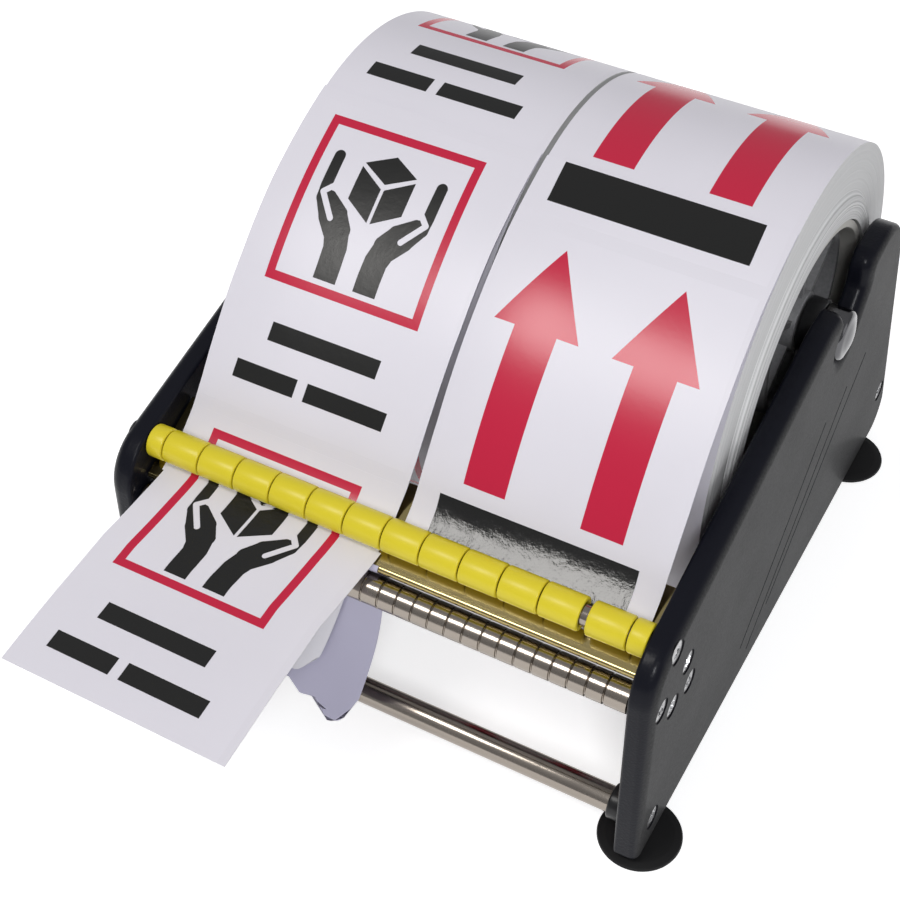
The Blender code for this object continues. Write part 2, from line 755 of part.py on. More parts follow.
def add_liner_roller():
    """Add the grooved roller that the spent liner runs over, and its fixed shaft."""
    place = place_at(0, LINER_ROLLER_DEPTH, LINER_ROLLER_HEIGHT)
    length = INNER_WIDTH - 2 * GAP
    half = length / 2 - GAP
    bore = LINER_SHAFT_RADIUS + GAP
    profile = [(bore, -half), (LINER_ROLLER_RADIUS, -half)]
    groove = -half + FIRST_GROOVE
    while groove < half - GROOVE_PITCH * LAST_GROOVE_SHARE:
        profile.append((LINER_ROLLER_RADIUS, groove - GROOVE_WIDTH / 2))
        profile.append((LINER_ROLLER_RADIUS - GROOVE_DEPTH, groove))
        profile.append((LINER_ROLLER_RADIUS, groove + GROOVE_WIDTH / 2))
        groove += GROOVE_PITCH
    profile += [(LINER_ROLLER_RADIUS, half), (bore, half)]
    added("liner_roller", turned("liner_roller", profile, ROD_FACETS), "polished_steel", place)
    shaft = rod(
        "liner_roller_shaft", LINER_SHAFT_RADIUS, length, SCREW_BORE, SCREW_REACH + GAP
    )
    added("liner_roller_shaft", shaft, "screw_steel", place)


def roll_edges(name):
    """Return the left and right X of a roll."""
    if name == "left":
        right = ROLLS_OFFSET - ROLL_GAP / 2
        return (right - ROLL_WIDTH, right)
    left = ROLLS_OFFSET + ROLL_GAP / 2
    return (left, left + ROLL_WIDTH)


def roll_centre():
    """Return the rolls' axis, hung from the spindle's by the play of the cores on the hubs."""
    return (
        SPINDLE_DEPTH - HUB_PLAY * math.sin(ROLL_HANG),
        SPINDLE_HEIGHT - HUB_PLAY * math.cos(ROLL_HANG),
    )


def add_spindle():
    """Add the spindle rod, its chrome ends in the slots and the black collars inside the plates."""
    place = (SPINDLE_DEPTH, SPINDLE_HEIGHT)
    socket_end = HALF_WIDTH + END_SOCKET
    length = 2 * (socket_end - GAP)
    bar = turned(
        "spindle_rod",
        [
            (0, -length / 2),
            (SPINDLE_RADIUS, -length / 2),
            (SPINDLE_RADIUS, length / 2),
            (0, length / 2),
        ],
        ROD_FACETS,
    )
    added("spindle_rod", bar, "black_plastic", place_at(0, *place))
    face = PLATE_THICKNESS + END_PROUD
    profile = [
        (0, face + END_DOME),
        (END_RADIUS * END_DOME_SHARES[0], face + END_DOME * END_DOME_SHARES[1]),
        (END_RADIUS - END_CHAMFER, face),
        (END_RADIUS, face - END_CHAMFER),
        (END_RADIUS, 0),
        (SPINDLE_RADIUS + GAP, 0),
        (SPINDLE_RADIUS + GAP, END_SOCKET),
        (0, END_SOCKET),
    ]
    hub_outside = {
        "left": -roll_edges("left")[0] - HUB_INSET,
        "right": roll_edges("right")[1] - HUB_INSET,
    }
    for name, side in SIDES.items():
        node = f"spindle_end_{name}"
        end = turned(node, profile, HUB_FACETS)
        added(node, end, "chrome", facing(side, HALF_WIDTH, *place))
        width = HALF_WIDTH - GAP - hub_outside[name] - GAP
        node = f"spindle_collar_{name}"
        collar = tube(
            node,
            COLLAR_RADIUS,
            SPINDLE_RADIUS + GAP,
            width,
            COLLAR_CHAMFER,
            HUB_FACETS,
        )
        along = side * (HALF_WIDTH - GAP - width / 2)
        added(node, collar, "black_plastic", place_at(along, *place))


def add_hubs():
    """Add two ribbed hubs for each roll, one near each end of its core."""
    half = HUB_WIDTH / 2
    bore = SPINDLE_RADIUS + GAP
    rim_inside = HUB_RADIUS - HUB_RIM
    profile = [
        (bore, -half),
        (HUB_BOSS_RADIUS, -half),
        (HUB_BOSS_RADIUS, -HUB_WEB / 2),
        (rim_inside, -HUB_WEB / 2),
        (rim_inside, -half),
        (HUB_RADIUS, -half),
        (HUB_RADIUS, half),
        (rim_inside, half),
        (rim_inside, HUB_WEB / 2),
        (HUB_BOSS_RADIUS, HUB_WEB / 2),
        (HUB_BOSS_RADIUS, half),
        (bore, half),
    ]
    rib_length = rim_inside - HUB_BOSS_RADIUS + HUB_RIM
    rib_middle = (rim_inside + HUB_BOSS_RADIUS) / 2
    rib_size = (HUB_WIDTH - 2 * HUB_RIB_INSET, HUB_RIB, rib_length)
    step = math.tau / HUB_RIB_COUNT
    turns = [Matrix.Rotation(rib * step, 4, "X") for rib in range(HUB_RIB_COUNT)]
    lift = Matrix.Translation((0, 0, rib_middle))
    alongs = []
    for name in SIDES:
        left, right = roll_edges(name)
        alongs.append(left + HUB_INSET + half)
        alongs.append(right - HUB_INSET - half)
    for index, along in enumerate(alongs):
        place = place_at(along, SPINDLE_DEPTH, SPINDLE_HEIGHT)
        node = f"hub_{index + 1}"
        hub = added(node, turned(node, profile, HUB_FACETS), "hub_plastic", place)
        ribs = boxes(f"{node}_ribs", [turn @ lift for turn in turns], rib_size)
        boolean(hub, cutter(f"{node}_ribs", ribs, place), "UNION")


def add_rolls():
    """Add each roll of labels as a wound ring on its board core."""
    place = roll_centre()
    core_radius = CORE_BORE_RADIUS + CORE_WALL
    inside = core_radius + GAP
    for name in SIDES:
        left, right = roll_edges(name)
        middle = (left + right) / 2
        half = ROLL_WIDTH / 2
        core_profile = [
            (CORE_BORE_RADIUS, -half),
            (core_radius, -half),
            (core_radius, half),
            (CORE_BORE_RADIUS, half),
        ]
        core = turned(f"core_{name}", core_profile, ROLL_FACETS)
        added(f"core_{name}", core, "core_board", place_at(middle, *place))
        profile = [
            (inside, -half),
            (ROLL_RADIUS - ROLL_EDGE, -half),
            (ROLL_RADIUS, -half + ROLL_EDGE),
            (ROLL_RADIUS, half - ROLL_EDGE),
            (ROLL_RADIUS - ROLL_EDGE, half),
        ]
        if name == "right":
            profile.append((inside + TELESCOPE_BAND + TELESCOPE_LAYER, half))
            profile.append((inside + TELESCOPE_BAND, half + TELESCOPE))
            profile.append((inside + TELESCOPE_LAYER, half + TELESCOPE))
            profile.append((inside, half))
        else:
            profile.append((inside, half))
        added(
            f"roll_{name}",
            turned(f"roll_{name}", profile, ROLL_FACETS),
            "label_paper",
            place_at(middle, *place),
        )


def web_route(name):
    """Return a web's middle line from its roll, over a slack bend, to where it ends.

    The left web ends just behind the peel edge, and the idle right one just past the nip.
    """
    centre = roll_centre()
    radius = ROLL_RADIUS + GAP + WEB_THICKNESS / 2
    leave = (
        centre[0] + radius * math.cos(WEB_LEAVE_ANGLE),
        centre[1] + radius * math.sin(WEB_LEAVE_ANGLE),
    )
    leave_slope = WEB_LEAVE_ANGLE - math.pi / 2
    above = PEEL_SHEET + NIP_GAP + WEB_THICKNESS / 2
    nip = on_slope(PRESSURE_DEPTH + SLEEVE_RADIUS * math.sin(PEEL_SLOPE), above)
    ends = {"left": PEEL_EDGE_DEPTH + WEB_END, "right": nip[0] - IDLE_WEB_END}
    knee = (nip[0] + WEB_KNEE_BEHIND, nip[1] + WEB_KNEE_ABOVE)
    upper = bezier(leave, leave_slope, knee, WEB_KNEE_SLOPE, WEB_UPPER_SHARES)
    lower = bezier(knee, WEB_KNEE_SLOPE, nip, PEEL_SLOPE, WEB_LOWER_SHARES)
    return upper + lower[1:] + [on_slope(ends[name], above)]


def add_webs():
    """Add each roll's web of labels on their liner."""
    for name in SIDES:
        outline = sheet_outline(web_route(name), WEB_THICKNESS)
        left, right = roll_edges(name)
        node = f"web_{name}"
        added(node, extruded(node, outline, left, right), "label_paper")


def add_peeled_label():
    """Add the label that stands out over the table in front of the peel edge."""
    over_liner = NIP_GAP + max(WEB_THICKNESS, LINER_THICKNESS)
    above = PEEL_SHEET + over_liner + NIP_GAP / 2 + LABEL_THICKNESS / 2
    start = on_slope(PEEL_EDGE_DEPTH + LABEL_START, above)
    tip = (-LABEL_REACH, PRESSURE_HEIGHT - LABEL_TIP_BELOW)
    route = bezier(start, PEEL_SLOPE, tip, LABEL_TIP_SLOPE, LABEL_SHARES)
    left, right = roll_edges("left")
    outline = sheet_outline(route, LABEL_THICKNESS)
    added("peeled_label", extruded("peeled_label", outline, left, right), "label_paper")


def add_liner():
    """Add the spent liner, round the peel edge, down behind the roller and out in front."""
    middle = nose_centre()
    radius = PEEL_SHEET + NIP_GAP + LINER_THICKNESS / 2
    turn = math.pi - PEEL_SLOPE - LINER_CHANNEL_SWING
    route = []
    for step in range(WEB_STEP_COUNT + 1):
        angle = PEEL_SLOPE + math.pi / 2 + turn * step / WEB_STEP_COUNT
        route.append(
            (
                middle[0] + radius * math.cos(angle),
                middle[1] + radius * math.sin(angle),
            )
        )
    behind_roller = LINER_ROLLER_DEPTH + LINER_ROLLER_RADIUS + GAP
    channel = (behind_roller + LINER_THICKNESS / 2, LINER_ROLLER_HEIGHT)
    end = (-LINER_END_FORWARD, LINER_END_HEIGHT)
    under = bezier(route[-1], turn + PEEL_SLOPE, channel, LINER_CHANNEL_SLOPE, LINER_SHARES)
    hanging = bezier(channel, LINER_CHANNEL_SLOPE, end, LINER_END_SLOPE, LINER_SHARES)
    route += under[1:] + hanging[1:]
    left, right = roll_edges("left")
    outline = sheet_outline(route, LINER_THICKNESS)
    added("liner_left", extruded("liner_left", outline, left, right), "liner_paper")


clear_scene()
parts = new_collection(OBJECT_NAME)
cutters = new_collection("cutters", hidden=True)
add_side_plates()
add_screws()
add_feet()
add_tie_rods()
add_pressure_rod()
add_peel_plate()
add_peel_bar()
add_liner_roller()
add_spindle()
add_hubs()
add_rolls()
add_webs()
add_peeled_label()
add_liner()
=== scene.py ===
"""Looks of a desktop dispenser for two rolls of shipping labels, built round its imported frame.

X runs across from the left plate to the right one, -Y is the front and Z is up, as in the frame.
A depth is measured behind the plates' front face, and a height from the table.
"""

import json
import logging
import math
from collections.abc import Callable, Sequence
from dataclasses import dataclass, field
from enum import Enum

import bmesh
import bpy
import numpy as np
from mathutils import Matrix, Vector


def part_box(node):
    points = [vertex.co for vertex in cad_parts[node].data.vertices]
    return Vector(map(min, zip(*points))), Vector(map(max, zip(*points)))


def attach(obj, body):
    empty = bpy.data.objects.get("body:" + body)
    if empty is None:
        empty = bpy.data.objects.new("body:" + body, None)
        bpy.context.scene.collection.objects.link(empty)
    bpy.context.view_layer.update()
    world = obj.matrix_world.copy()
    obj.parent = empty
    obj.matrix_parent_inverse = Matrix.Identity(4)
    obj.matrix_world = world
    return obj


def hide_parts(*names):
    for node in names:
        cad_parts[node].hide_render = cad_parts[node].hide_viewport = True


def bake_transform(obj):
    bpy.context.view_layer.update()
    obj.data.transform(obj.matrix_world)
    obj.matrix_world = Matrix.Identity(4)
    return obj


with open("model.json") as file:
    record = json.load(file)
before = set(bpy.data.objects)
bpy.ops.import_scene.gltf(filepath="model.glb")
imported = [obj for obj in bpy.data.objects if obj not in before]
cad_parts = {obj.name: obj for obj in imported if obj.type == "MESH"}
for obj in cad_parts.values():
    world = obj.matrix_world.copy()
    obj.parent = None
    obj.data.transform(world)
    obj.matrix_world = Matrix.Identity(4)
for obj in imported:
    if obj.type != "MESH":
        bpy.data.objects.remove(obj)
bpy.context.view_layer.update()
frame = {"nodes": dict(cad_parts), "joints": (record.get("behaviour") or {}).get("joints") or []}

MM = 0.001
WELD = 1e-6
SEAT_GAP = 0.3 * MM
FRONT_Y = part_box("side_plate_right")[0].y
PIECES = bpy.data.collections.new("dressed_pieces")
bpy.context.scene.collection.children.link(PIECES)
log = logging.getLogger("dispenser")

Colour = tuple[float, float, float]
Point = tuple[float, float]
Piece = bpy.types.Object
Socket = bpy.types.NodeSocket
Feed = Socket | float | Sequence[float]
Given = dict[str, Socket]


class Side(Enum):
    """The two ends of the dispenser, by the sign of X."""

    LEFT = -1
    RIGHT = 1

    @property
    def word(self) -> str:
        """The side's word in node names."""
        return self.name.lower()


class Axis(Enum):
    """The line that a turned piece is round."""

    ACROSS = "x"
    UP = "z"


class Stock(Enum):
    """The two printed labels."""

    CARTON = "left"
    ARROWS = "right"


# Curves and places


def unit(rows: np.ndarray) -> np.ndarray:
    """Return each row of coordinates at length 1."""
    return rows / np.linalg.norm(rows, axis=-1, keepdims=True)


def filleted(
    corners: np.ndarray, radii: np.ndarray | float, steps: int = 4, closed: bool = True
) -> tuple[np.ndarray, np.ndarray]:
    """Round the corners of an outline with circular arcs.

    With unit vectors from a corner to its neighbours and h half the angle between them, the arc's
    centre lies on the bisector at radius / sin h, and it starts at radius / tan h from the corner.

    Args:
        corners: Corner points, shape (n, 2).
        radii: Radius at each corner, or one for all.
        steps: Spans in each arc.
        closed: Whether the last corner joins the first; if not, both ends stay sharp.

    Returns:
        The points and their normals, which point to the left of the way round.
    """
    corners = np.asarray(corners, float)
    inner = corners if closed else corners[1:-1]
    back = unit((np.roll(corners, 1, axis=0) if closed else corners[:-2]) - inner)
    ahead = unit((np.roll(corners, -1, axis=0) if closed else corners[2:]) - inner)
    bisector = unit(back + ahead)
    half = np.arccos(np.clip((back * bisector).sum(1), -1, 1))[:, None]
    size = np.broadcast_to(np.asarray(radii, float), len(inner))[:, None]
    centres = inner + bisector * size / np.sin(half)
    start = inner + back * size / np.tan(half) - centres
    turn = np.sign(back[:, 1] * ahead[:, 0] - back[:, 0] * ahead[:, 1])[:, None]
    angle = (np.pi - 2 * half) * np.linspace(0, 1, steps + 1) * turn
    arc_x = start[:, :1] * np.cos(angle) - start[:, 1:] * np.sin(angle)
    arc_y = start[:, :1] * np.sin(angle) + start[:, 1:] * np.cos(angle)
    arcs = np.stack([arc_x, arc_y], -1)
    points = (centres[:, None] + arcs).reshape(-1, 2)
    normals = (-turn[..., None] * arcs / size[..., None]).reshape(-1, 2)
    if not closed:
        points = np.vstack([corners[:1], points, corners[-1:]])
    return points, normals


def bezier(start: Point, leave: float, end: Point, arrive: float, shares: Point, steps: int) -> np.ndarray:
    """Return a cubic Bezier that runs forwards and down.

    Args:
        start: First point, as depth and height.
        leave: Slope at the start, in radians below the horizon.
        end: Last point.
        arrive: Slope at the end.
        shares: How far the two middle control points stand off, as shares of the span.
        steps: Spans along the curve.

    Returns:
        Points of shape (steps + 1, 2).
    """
    first = np.array(start)
    last = np.array(end)
    span = np.linalg.norm(last - first)
    second = first - shares[0] * span * np.array([math.cos(leave), math.sin(leave)])
    third = last + shares[1] * span * np.array([math.cos(arrive), math.sin(arrive)])
    t = np.linspace(0, 1, steps + 1)[:, None]
    return (1 - t) ** 3 * first + 3 * t * (1 - t) ** 2 * second + 3 * t * t * (1 - t) * third + t**3 * last


def run_of(route: np.ndarray) -> np.ndarray:
    """Return the distance along a route at each of its points."""
    return np.concatenate([[0], np.cumsum(np.linalg.norm(np.diff(route, axis=0), axis=1))])


def resampled(route: np.ndarray, step: float) -> np.ndarray:
    """Return a route's points at even distances of about one step.

    Args:
        route: Points in order, shape (n, 2).
        step: The distance aimed at.

    Returns:
        The new points, shape (m, 2).
    """
    run = run_of(route)
    even = np.linspace(0, run[-1], max(2, round(run[-1] / step)) + 1)
    return np.stack([np.interp(even, run, column) for column in route.T], -1)


def eased(value: np.ndarray, low: float, high: float) -> np.ndarray:
    """Return the smooth step 3t^2 - 2t^3, from 0 at low to 1 at high."""
    t = np.clip((value - low) / (high - low), 0, 1)
    return t * t * (3 - 2 * t)


def joint_point(name: str) -> Point:
    """Return the Y and Z of a hinge of the frame."""
    found = next(joint for joint in frame["joints"] if joint["name"] == name)
    return (found["pos_m"][1], found["pos_m"][2])


def measured(node: str) -> tuple[Vector, Vector, tuple[float, float, float], float]:
    """Return a CAD node's box corners, its axis at X 0 and half its height."""
    low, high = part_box(node)
    return low, high, (0, (low.y + high.y) / 2, (low.z + high.z) / 2), (high.z - low.z) / 2


def tube(inner: float, outer: float, low: float, high: float) -> list[Point]:
    """Return the profile corners of a tube, or of a rod where the inner radius is 0."""
    return [(inner, low), (outer, low), (outer, high), (inner, high)]


# Meshes


@dataclass
class Shell:
    """Points and faces of a piece while it is put together from grids."""

    name: str
    points: list[np.ndarray] = field(default_factory=list)
    faces: list[list[int]] = field(default_factory=list)
    slots: list[int] = field(default_factory=list)
    places: list[np.ndarray] = field(default_factory=list)
    count: int = 0

    def add_grid(
        self,
        points: np.ndarray,
        round_rows: bool = False,
        round_columns: bool = False,
        caps: bool = False,
        places: np.ndarray | None = None,
        slot: np.ndarray | int = 0,
    ) -> "Shell":
        """Add a grid of points.

        Args:
            points: Shape (rows, columns, 3).
            round_rows: Whether the last row joins the first.
            round_columns: Whether each row is a ring.
            caps: Whether the first and last rows are closed with a face.
            places: Print coordinates with one row and one column more than the faces have.
            slot: Material slot of the faces, one number or one for each face.

        Returns:
            The shell itself.
        """
        rows, columns = points.shape[:2]
        row = np.arange(rows if round_rows else rows - 1)[:, None]
        column = np.arange(columns if round_columns else columns - 1)
        here = row * columns
        ahead = (row + 1) % rows * columns
        beside = (column + 1) % columns
        faces = np.stack([here + column, ahead + column, ahead + beside, here + beside], -1).reshape(-1, 4)
        self.points.append(points.reshape(-1, 3))
        self.faces += (faces + self.count).tolist()
        self.slots += np.broadcast_to(slot, len(faces)).tolist()
        if places is None:
            self.places.append(np.zeros((len(faces) * 4, 2)))
        else:
            corner = [places[:-1, :-1], places[1:, :-1], places[1:, 1:], places[:-1, 1:]]
            self.places.append(np.stack(corner, 2).reshape(-1, 2))
        if caps:
            ring = np.arange(columns)
            self.faces.append((ring + self.count).tolist())
            self.faces.append((ring[::-1] + self.count + (rows - 1) * columns).tolist())
            self.slots += [int(np.ravel(slot)[0]), int(np.ravel(slot)[-1])]
            self.places.append(np.zeros((2 * columns, 2)))
        self.count += rows * columns
        return self

    def add_boxes(self, middles: np.ndarray, sides: np.ndarray) -> "Shell":
        """Add closed boxes: a corner is the middle plus or minus half of each of three sides.

        Args:
            middles: Middles, shape (n, 3).
            sides: Full side vectors, shape (n, 3, 3).

        Returns:
            The shell itself.
        """
        ring = np.array([[-1, -1], [1, -1], [1, 1], [-1, 1]]) / 2
        for middle, (along, across, up) in zip(middles, sides):
            flat = middle + ring[:, :1] * across + ring[:, 1:] * up
            self.add_grid(np.array([flat - along / 2, flat + along / 2]), round_columns=True, caps=True)
        return self

    def piece(self, smooth_angle: float = math.radians(32)) -> Piece:
        """Return the shell as an object at the origin, its poles closed and its faces pointing out.

        Args:
            smooth_angle: Edges sharper than this stay sharp.

        Returns:
            The new object.
        """
        mesh = bpy.data.meshes.new(self.name)
        mesh.from_pydata(np.vstack(self.points).tolist(), [], self.faces)
        mesh.polygons.foreach_set("material_index", self.slots)
        layer = mesh.uv_layers.new(name="print")
        layer.data.foreach_set("uv", np.vstack(self.places).astype(np.float32).ravel())
        built = bmesh.new()
        built.from_mesh(mesh)
        bmesh.ops.remove_doubles(built, verts=built.verts, dist=WELD)
        bmesh.ops.dissolve_degenerate(built, edges=built.edges, dist=WELD)
        bmesh.ops.recalc_face_normals(built, faces=built.faces)
        built.to_mesh(mesh)
        built.free()
        mesh.shade_smooth()
        mesh.set_sharp_from_angle(angle=smooth_angle)
        made = bpy.data.objects.new(self.name, mesh)
        PIECES.objects.link(made)
        return made


def turned_points(profile: np.ndarray, centre: Sequence[float], segments: int, axis: Axis) -> np.ndarray:
    """Turn a profile round an axis: each point goes to radius times the cosine and sine.

    Args:
        profile: (radius, along) pairs, shape (n, 2).
        centre: Where the axis passes; its place along the axis is added to along.
        segments: Points in a ring.
        axis: The line that the profile turns round.

    Returns:
        A grid of shape (n, segments, 3).
    """
    angle = np.linspace(0, 2 * np.pi, segments, endpoint=False)
    along = np.broadcast_to(profile[:, 1:], (len(profile), segments))
    near = profile[:, :1] * np.cos(angle)
    far = profile[:, :1] * np.sin(angle)
    return np.stack([along, near, far] if axis is Axis.ACROSS else [near, far, along], -1) + np.array(centre)


def turned(
    name: str,
    corners: Sequence[Point],
    centre: Sequence[float],
    radius: float = 0.3 * MM,
    segments: int = 48,
    axis: Axis = Axis.ACROSS,
) -> Piece:
    """Return a turned piece; corners that start on the axis end on it, and others close a ring.

    Args:
        name: The piece's name.
        corners: (radius, along) corners of the profile.
        centre: Where the axis passes.
        radius: Rounding of the profile's corners.
        segments: Points in a ring.
        axis: The line that the profile turns round.

    Returns:
        The new object.
    """
    hollow = corners[0][0] > 0
    profile = filleted(np.array(corners), radius, 3, closed=hollow)[0]
    points = turned_points(profile, centre, segments, axis)
    return Shell(name).add_grid(points, round_rows=hollow, round_columns=True).piece()


def prism(name: str, outline: np.ndarray, left: float, right: float, bevel: float) -> Piece:
    """Return an outline of (Y, Z) points carried along X, with small bevels on its sharp edges.

    Args:
        name: The piece's name.
        outline: Points of the closed outline.
        left: X of its left end.
        right: X of its right end.
        bevel: Width of the bevels.

    Returns:
        The new object.
    """
    across = np.broadcast_to(np.array([left, right])[:, None], (2, len(outline)))
    flat = np.broadcast_to(outline, (2, *outline.shape))
    made = Shell(name).add_grid(np.dstack([across, flat]), round_columns=True, caps=True).piece()
    modifier = made.modifiers.new("edge", "BEVEL")
    modifier.width = bevel
    modifier.segments = 2
    modifier.angle_limit = math.radians(40)
    return made


def applied(made: Piece, cutters: Sequence[Piece]) -> Piece:
    """Cut the cutters from an object, keep the result as its mesh, and remove the cutters.

    Args:
        made: The object to cut.
        cutters: Closed objects that mark what goes.

    Returns:
        The object, with its shading weighted by the faces' areas.
    """
    for cutter in cutters:
        modifier = made.modifiers.new("cut", "BOOLEAN")
        modifier.operation = "DIFFERENCE"
        modifier.solver = "EXACT"
        modifier.object = cutter
    bpy.context.view_layer.update()
    cut = bpy.data.meshes.new_from_object(made.evaluated_get(bpy.context.evaluated_depsgraph_get()))
    made.modifiers.clear()
    made.data = cut
    for cutter in cutters:
        bpy.data.objects.remove(cutter, do_unlink=True)
    cut.shade_smooth()
    cut.set_sharp_from_angle(angle=math.radians(40))
    weighted = made.modifiers.new("shading", "WEIGHTED_NORMAL")
    weighted.keep_sharp = True
    weighted.weight = 100
    return made


def seat(made: Piece, body: str, slot: str, *nodes: str) -> None:
    """Let a piece ride on a body and stand for CAD nodes.

    Args:
        made: The piece.
        body: The CAD body that it moves with.
        slot: The record's material slot of its finish; not used.
        nodes: The CAD nodes that it replaces.
    """
    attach(made, body)
    if nodes:
        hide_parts(*nodes)
    log.info("piece %s rides on %s", made.name, body)


# Shader trees


@dataclass
class Tree:
    """A node tree with short calls that add nodes and join them."""

    tree: bpy.types.NodeTree

    def feed(self, socket: Socket, value: Feed) -> None:
        """Join a socket to another, or set its value.

        Args:
            socket: The input.
            value: Another socket, a number or a row of numbers.
        """
        if isinstance(value, Socket):
            self.tree.links.new(value, socket)
        else:
            socket.default_value = value

    def node(
        self, kind: str, inputs: dict[str | int, Feed] | None = None, **settings: object
    ) -> bpy.types.Node:
        """Add a node.

        Args:
            kind: The node's type without the ShaderNode in front.
            inputs: Values or sockets by input name or number.
            settings: Properties of the node.

        Returns:
            The node.
        """
        made = self.tree.nodes.new("ShaderNode" + kind)
        for key, value in settings.items():
            setattr(made, key, value)
        for key, value in (inputs or {}).items():
            self.feed(made.inputs[key], value)
        return made

    def math(self, operation: str, *values: Feed, clamp: bool = False) -> Socket:
        """Return the result of a Math node, with one to three values."""
        return self.node("Math", dict(enumerate(values)), operation=operation, use_clamp=clamp).outputs[0]

    def vector(self, operation: str, *values: Feed) -> Socket:
        """Return the vector of a Vector Math node."""
        return self.node("VectorMath", dict(enumerate(values)), operation=operation).outputs["Vector"]

    def number(self, operation: str, *values: Feed) -> Socket:
        """Return the number of a Vector Math node."""
        return self.node("VectorMath", dict(enumerate(values)), operation=operation).outputs["Value"]

    def parts(self, vector: Feed) -> Sequence[Socket]:
        """Return the three parts of a vector."""
        return self.node("SeparateXYZ", {0: vector}).outputs

    def mix(self, factor: Feed, low: Feed, high: Feed) -> Socket:
        """Return two colours mixed by a factor."""
        return self.node("Mix", {0: factor, 6: low, 7: high}, data_type="RGBA").outputs[2]

    def noise(self, place: Feed, scale: Feed, detail: float, roughness: float = 0.5) -> Socket:
        """Return a noise on a place."""
        inputs = {"Vector": place, "Scale": scale, "Detail": detail, "Roughness": roughness}
        return self.node("TexNoise", inputs).outputs[0]

    def ramp(
        self,
        value: Feed,
        start: float,
        stop: float,
        low: float = 0.0,
        high: float = 1.0,
        smooth: bool = False,
    ) -> Socket:
        """Carry a value from one range over to another, and hold it beyond the ends.

        Args:
            value: What is carried over.
            start: The value that gives low.
            stop: The value that gives high.
            low: First result.
            high: Last result.
            smooth: Whether it starts and stops gently.

        Returns:
            The result.
        """
        inputs = {0: value, 1: start, 2: stop, 3: low, 4: high}
        kind = "SMOOTHSTEP" if smooth else "LINEAR"
        return self.node("MapRange", inputs, interpolation_type=kind).outputs[0]

    def group(self, tree: bpy.types.NodeTree, **inputs: Feed) -> Sequence[Socket]:
        """Place a node group; an underscore in a keyword stands for a space in the input's name."""
        named = {key.replace("_", " "): value for key, value in inputs.items()}
        return self.node("Group", named, node_tree=tree).outputs


def new_group(
    name: str, vectors: str, floats: str, outputs: str, build: Callable[[Tree, Given], Sequence[Socket]]
) -> bpy.types.NodeTree:
    """Make a shader node group.

    Args:
        name: The group's name.
        vectors: Names of its vector inputs, with commas between.
        floats: Names of its float inputs.
        outputs: Names of its float outputs.
        build: Adds the nodes and returns a socket for each output.

    Returns:
        The group's tree.
    """
    made = bpy.data.node_groups.new(name, "ShaderNodeTree")
    rows = ((vectors, "INPUT", "Vector"), (floats, "INPUT", "Float"), (outputs, "OUTPUT", "Float"))
    for words, way, kind in rows:
        for word in words.split(","):
            made.interface.new_socket(name=word, in_out=way, socket_type=f"NodeSocket{kind}")
    entry = made.nodes.new("NodeGroupInput")
    leave = made.nodes.new("NodeGroupOutput")
    found = build(Tree(made), {key: entry.outputs[key] for key in f"{vectors},{floats}".split(",")})
    for key, socket in zip(outputs.split(","), found):
        made.links.new(socket, leave.inputs[key])
    return made


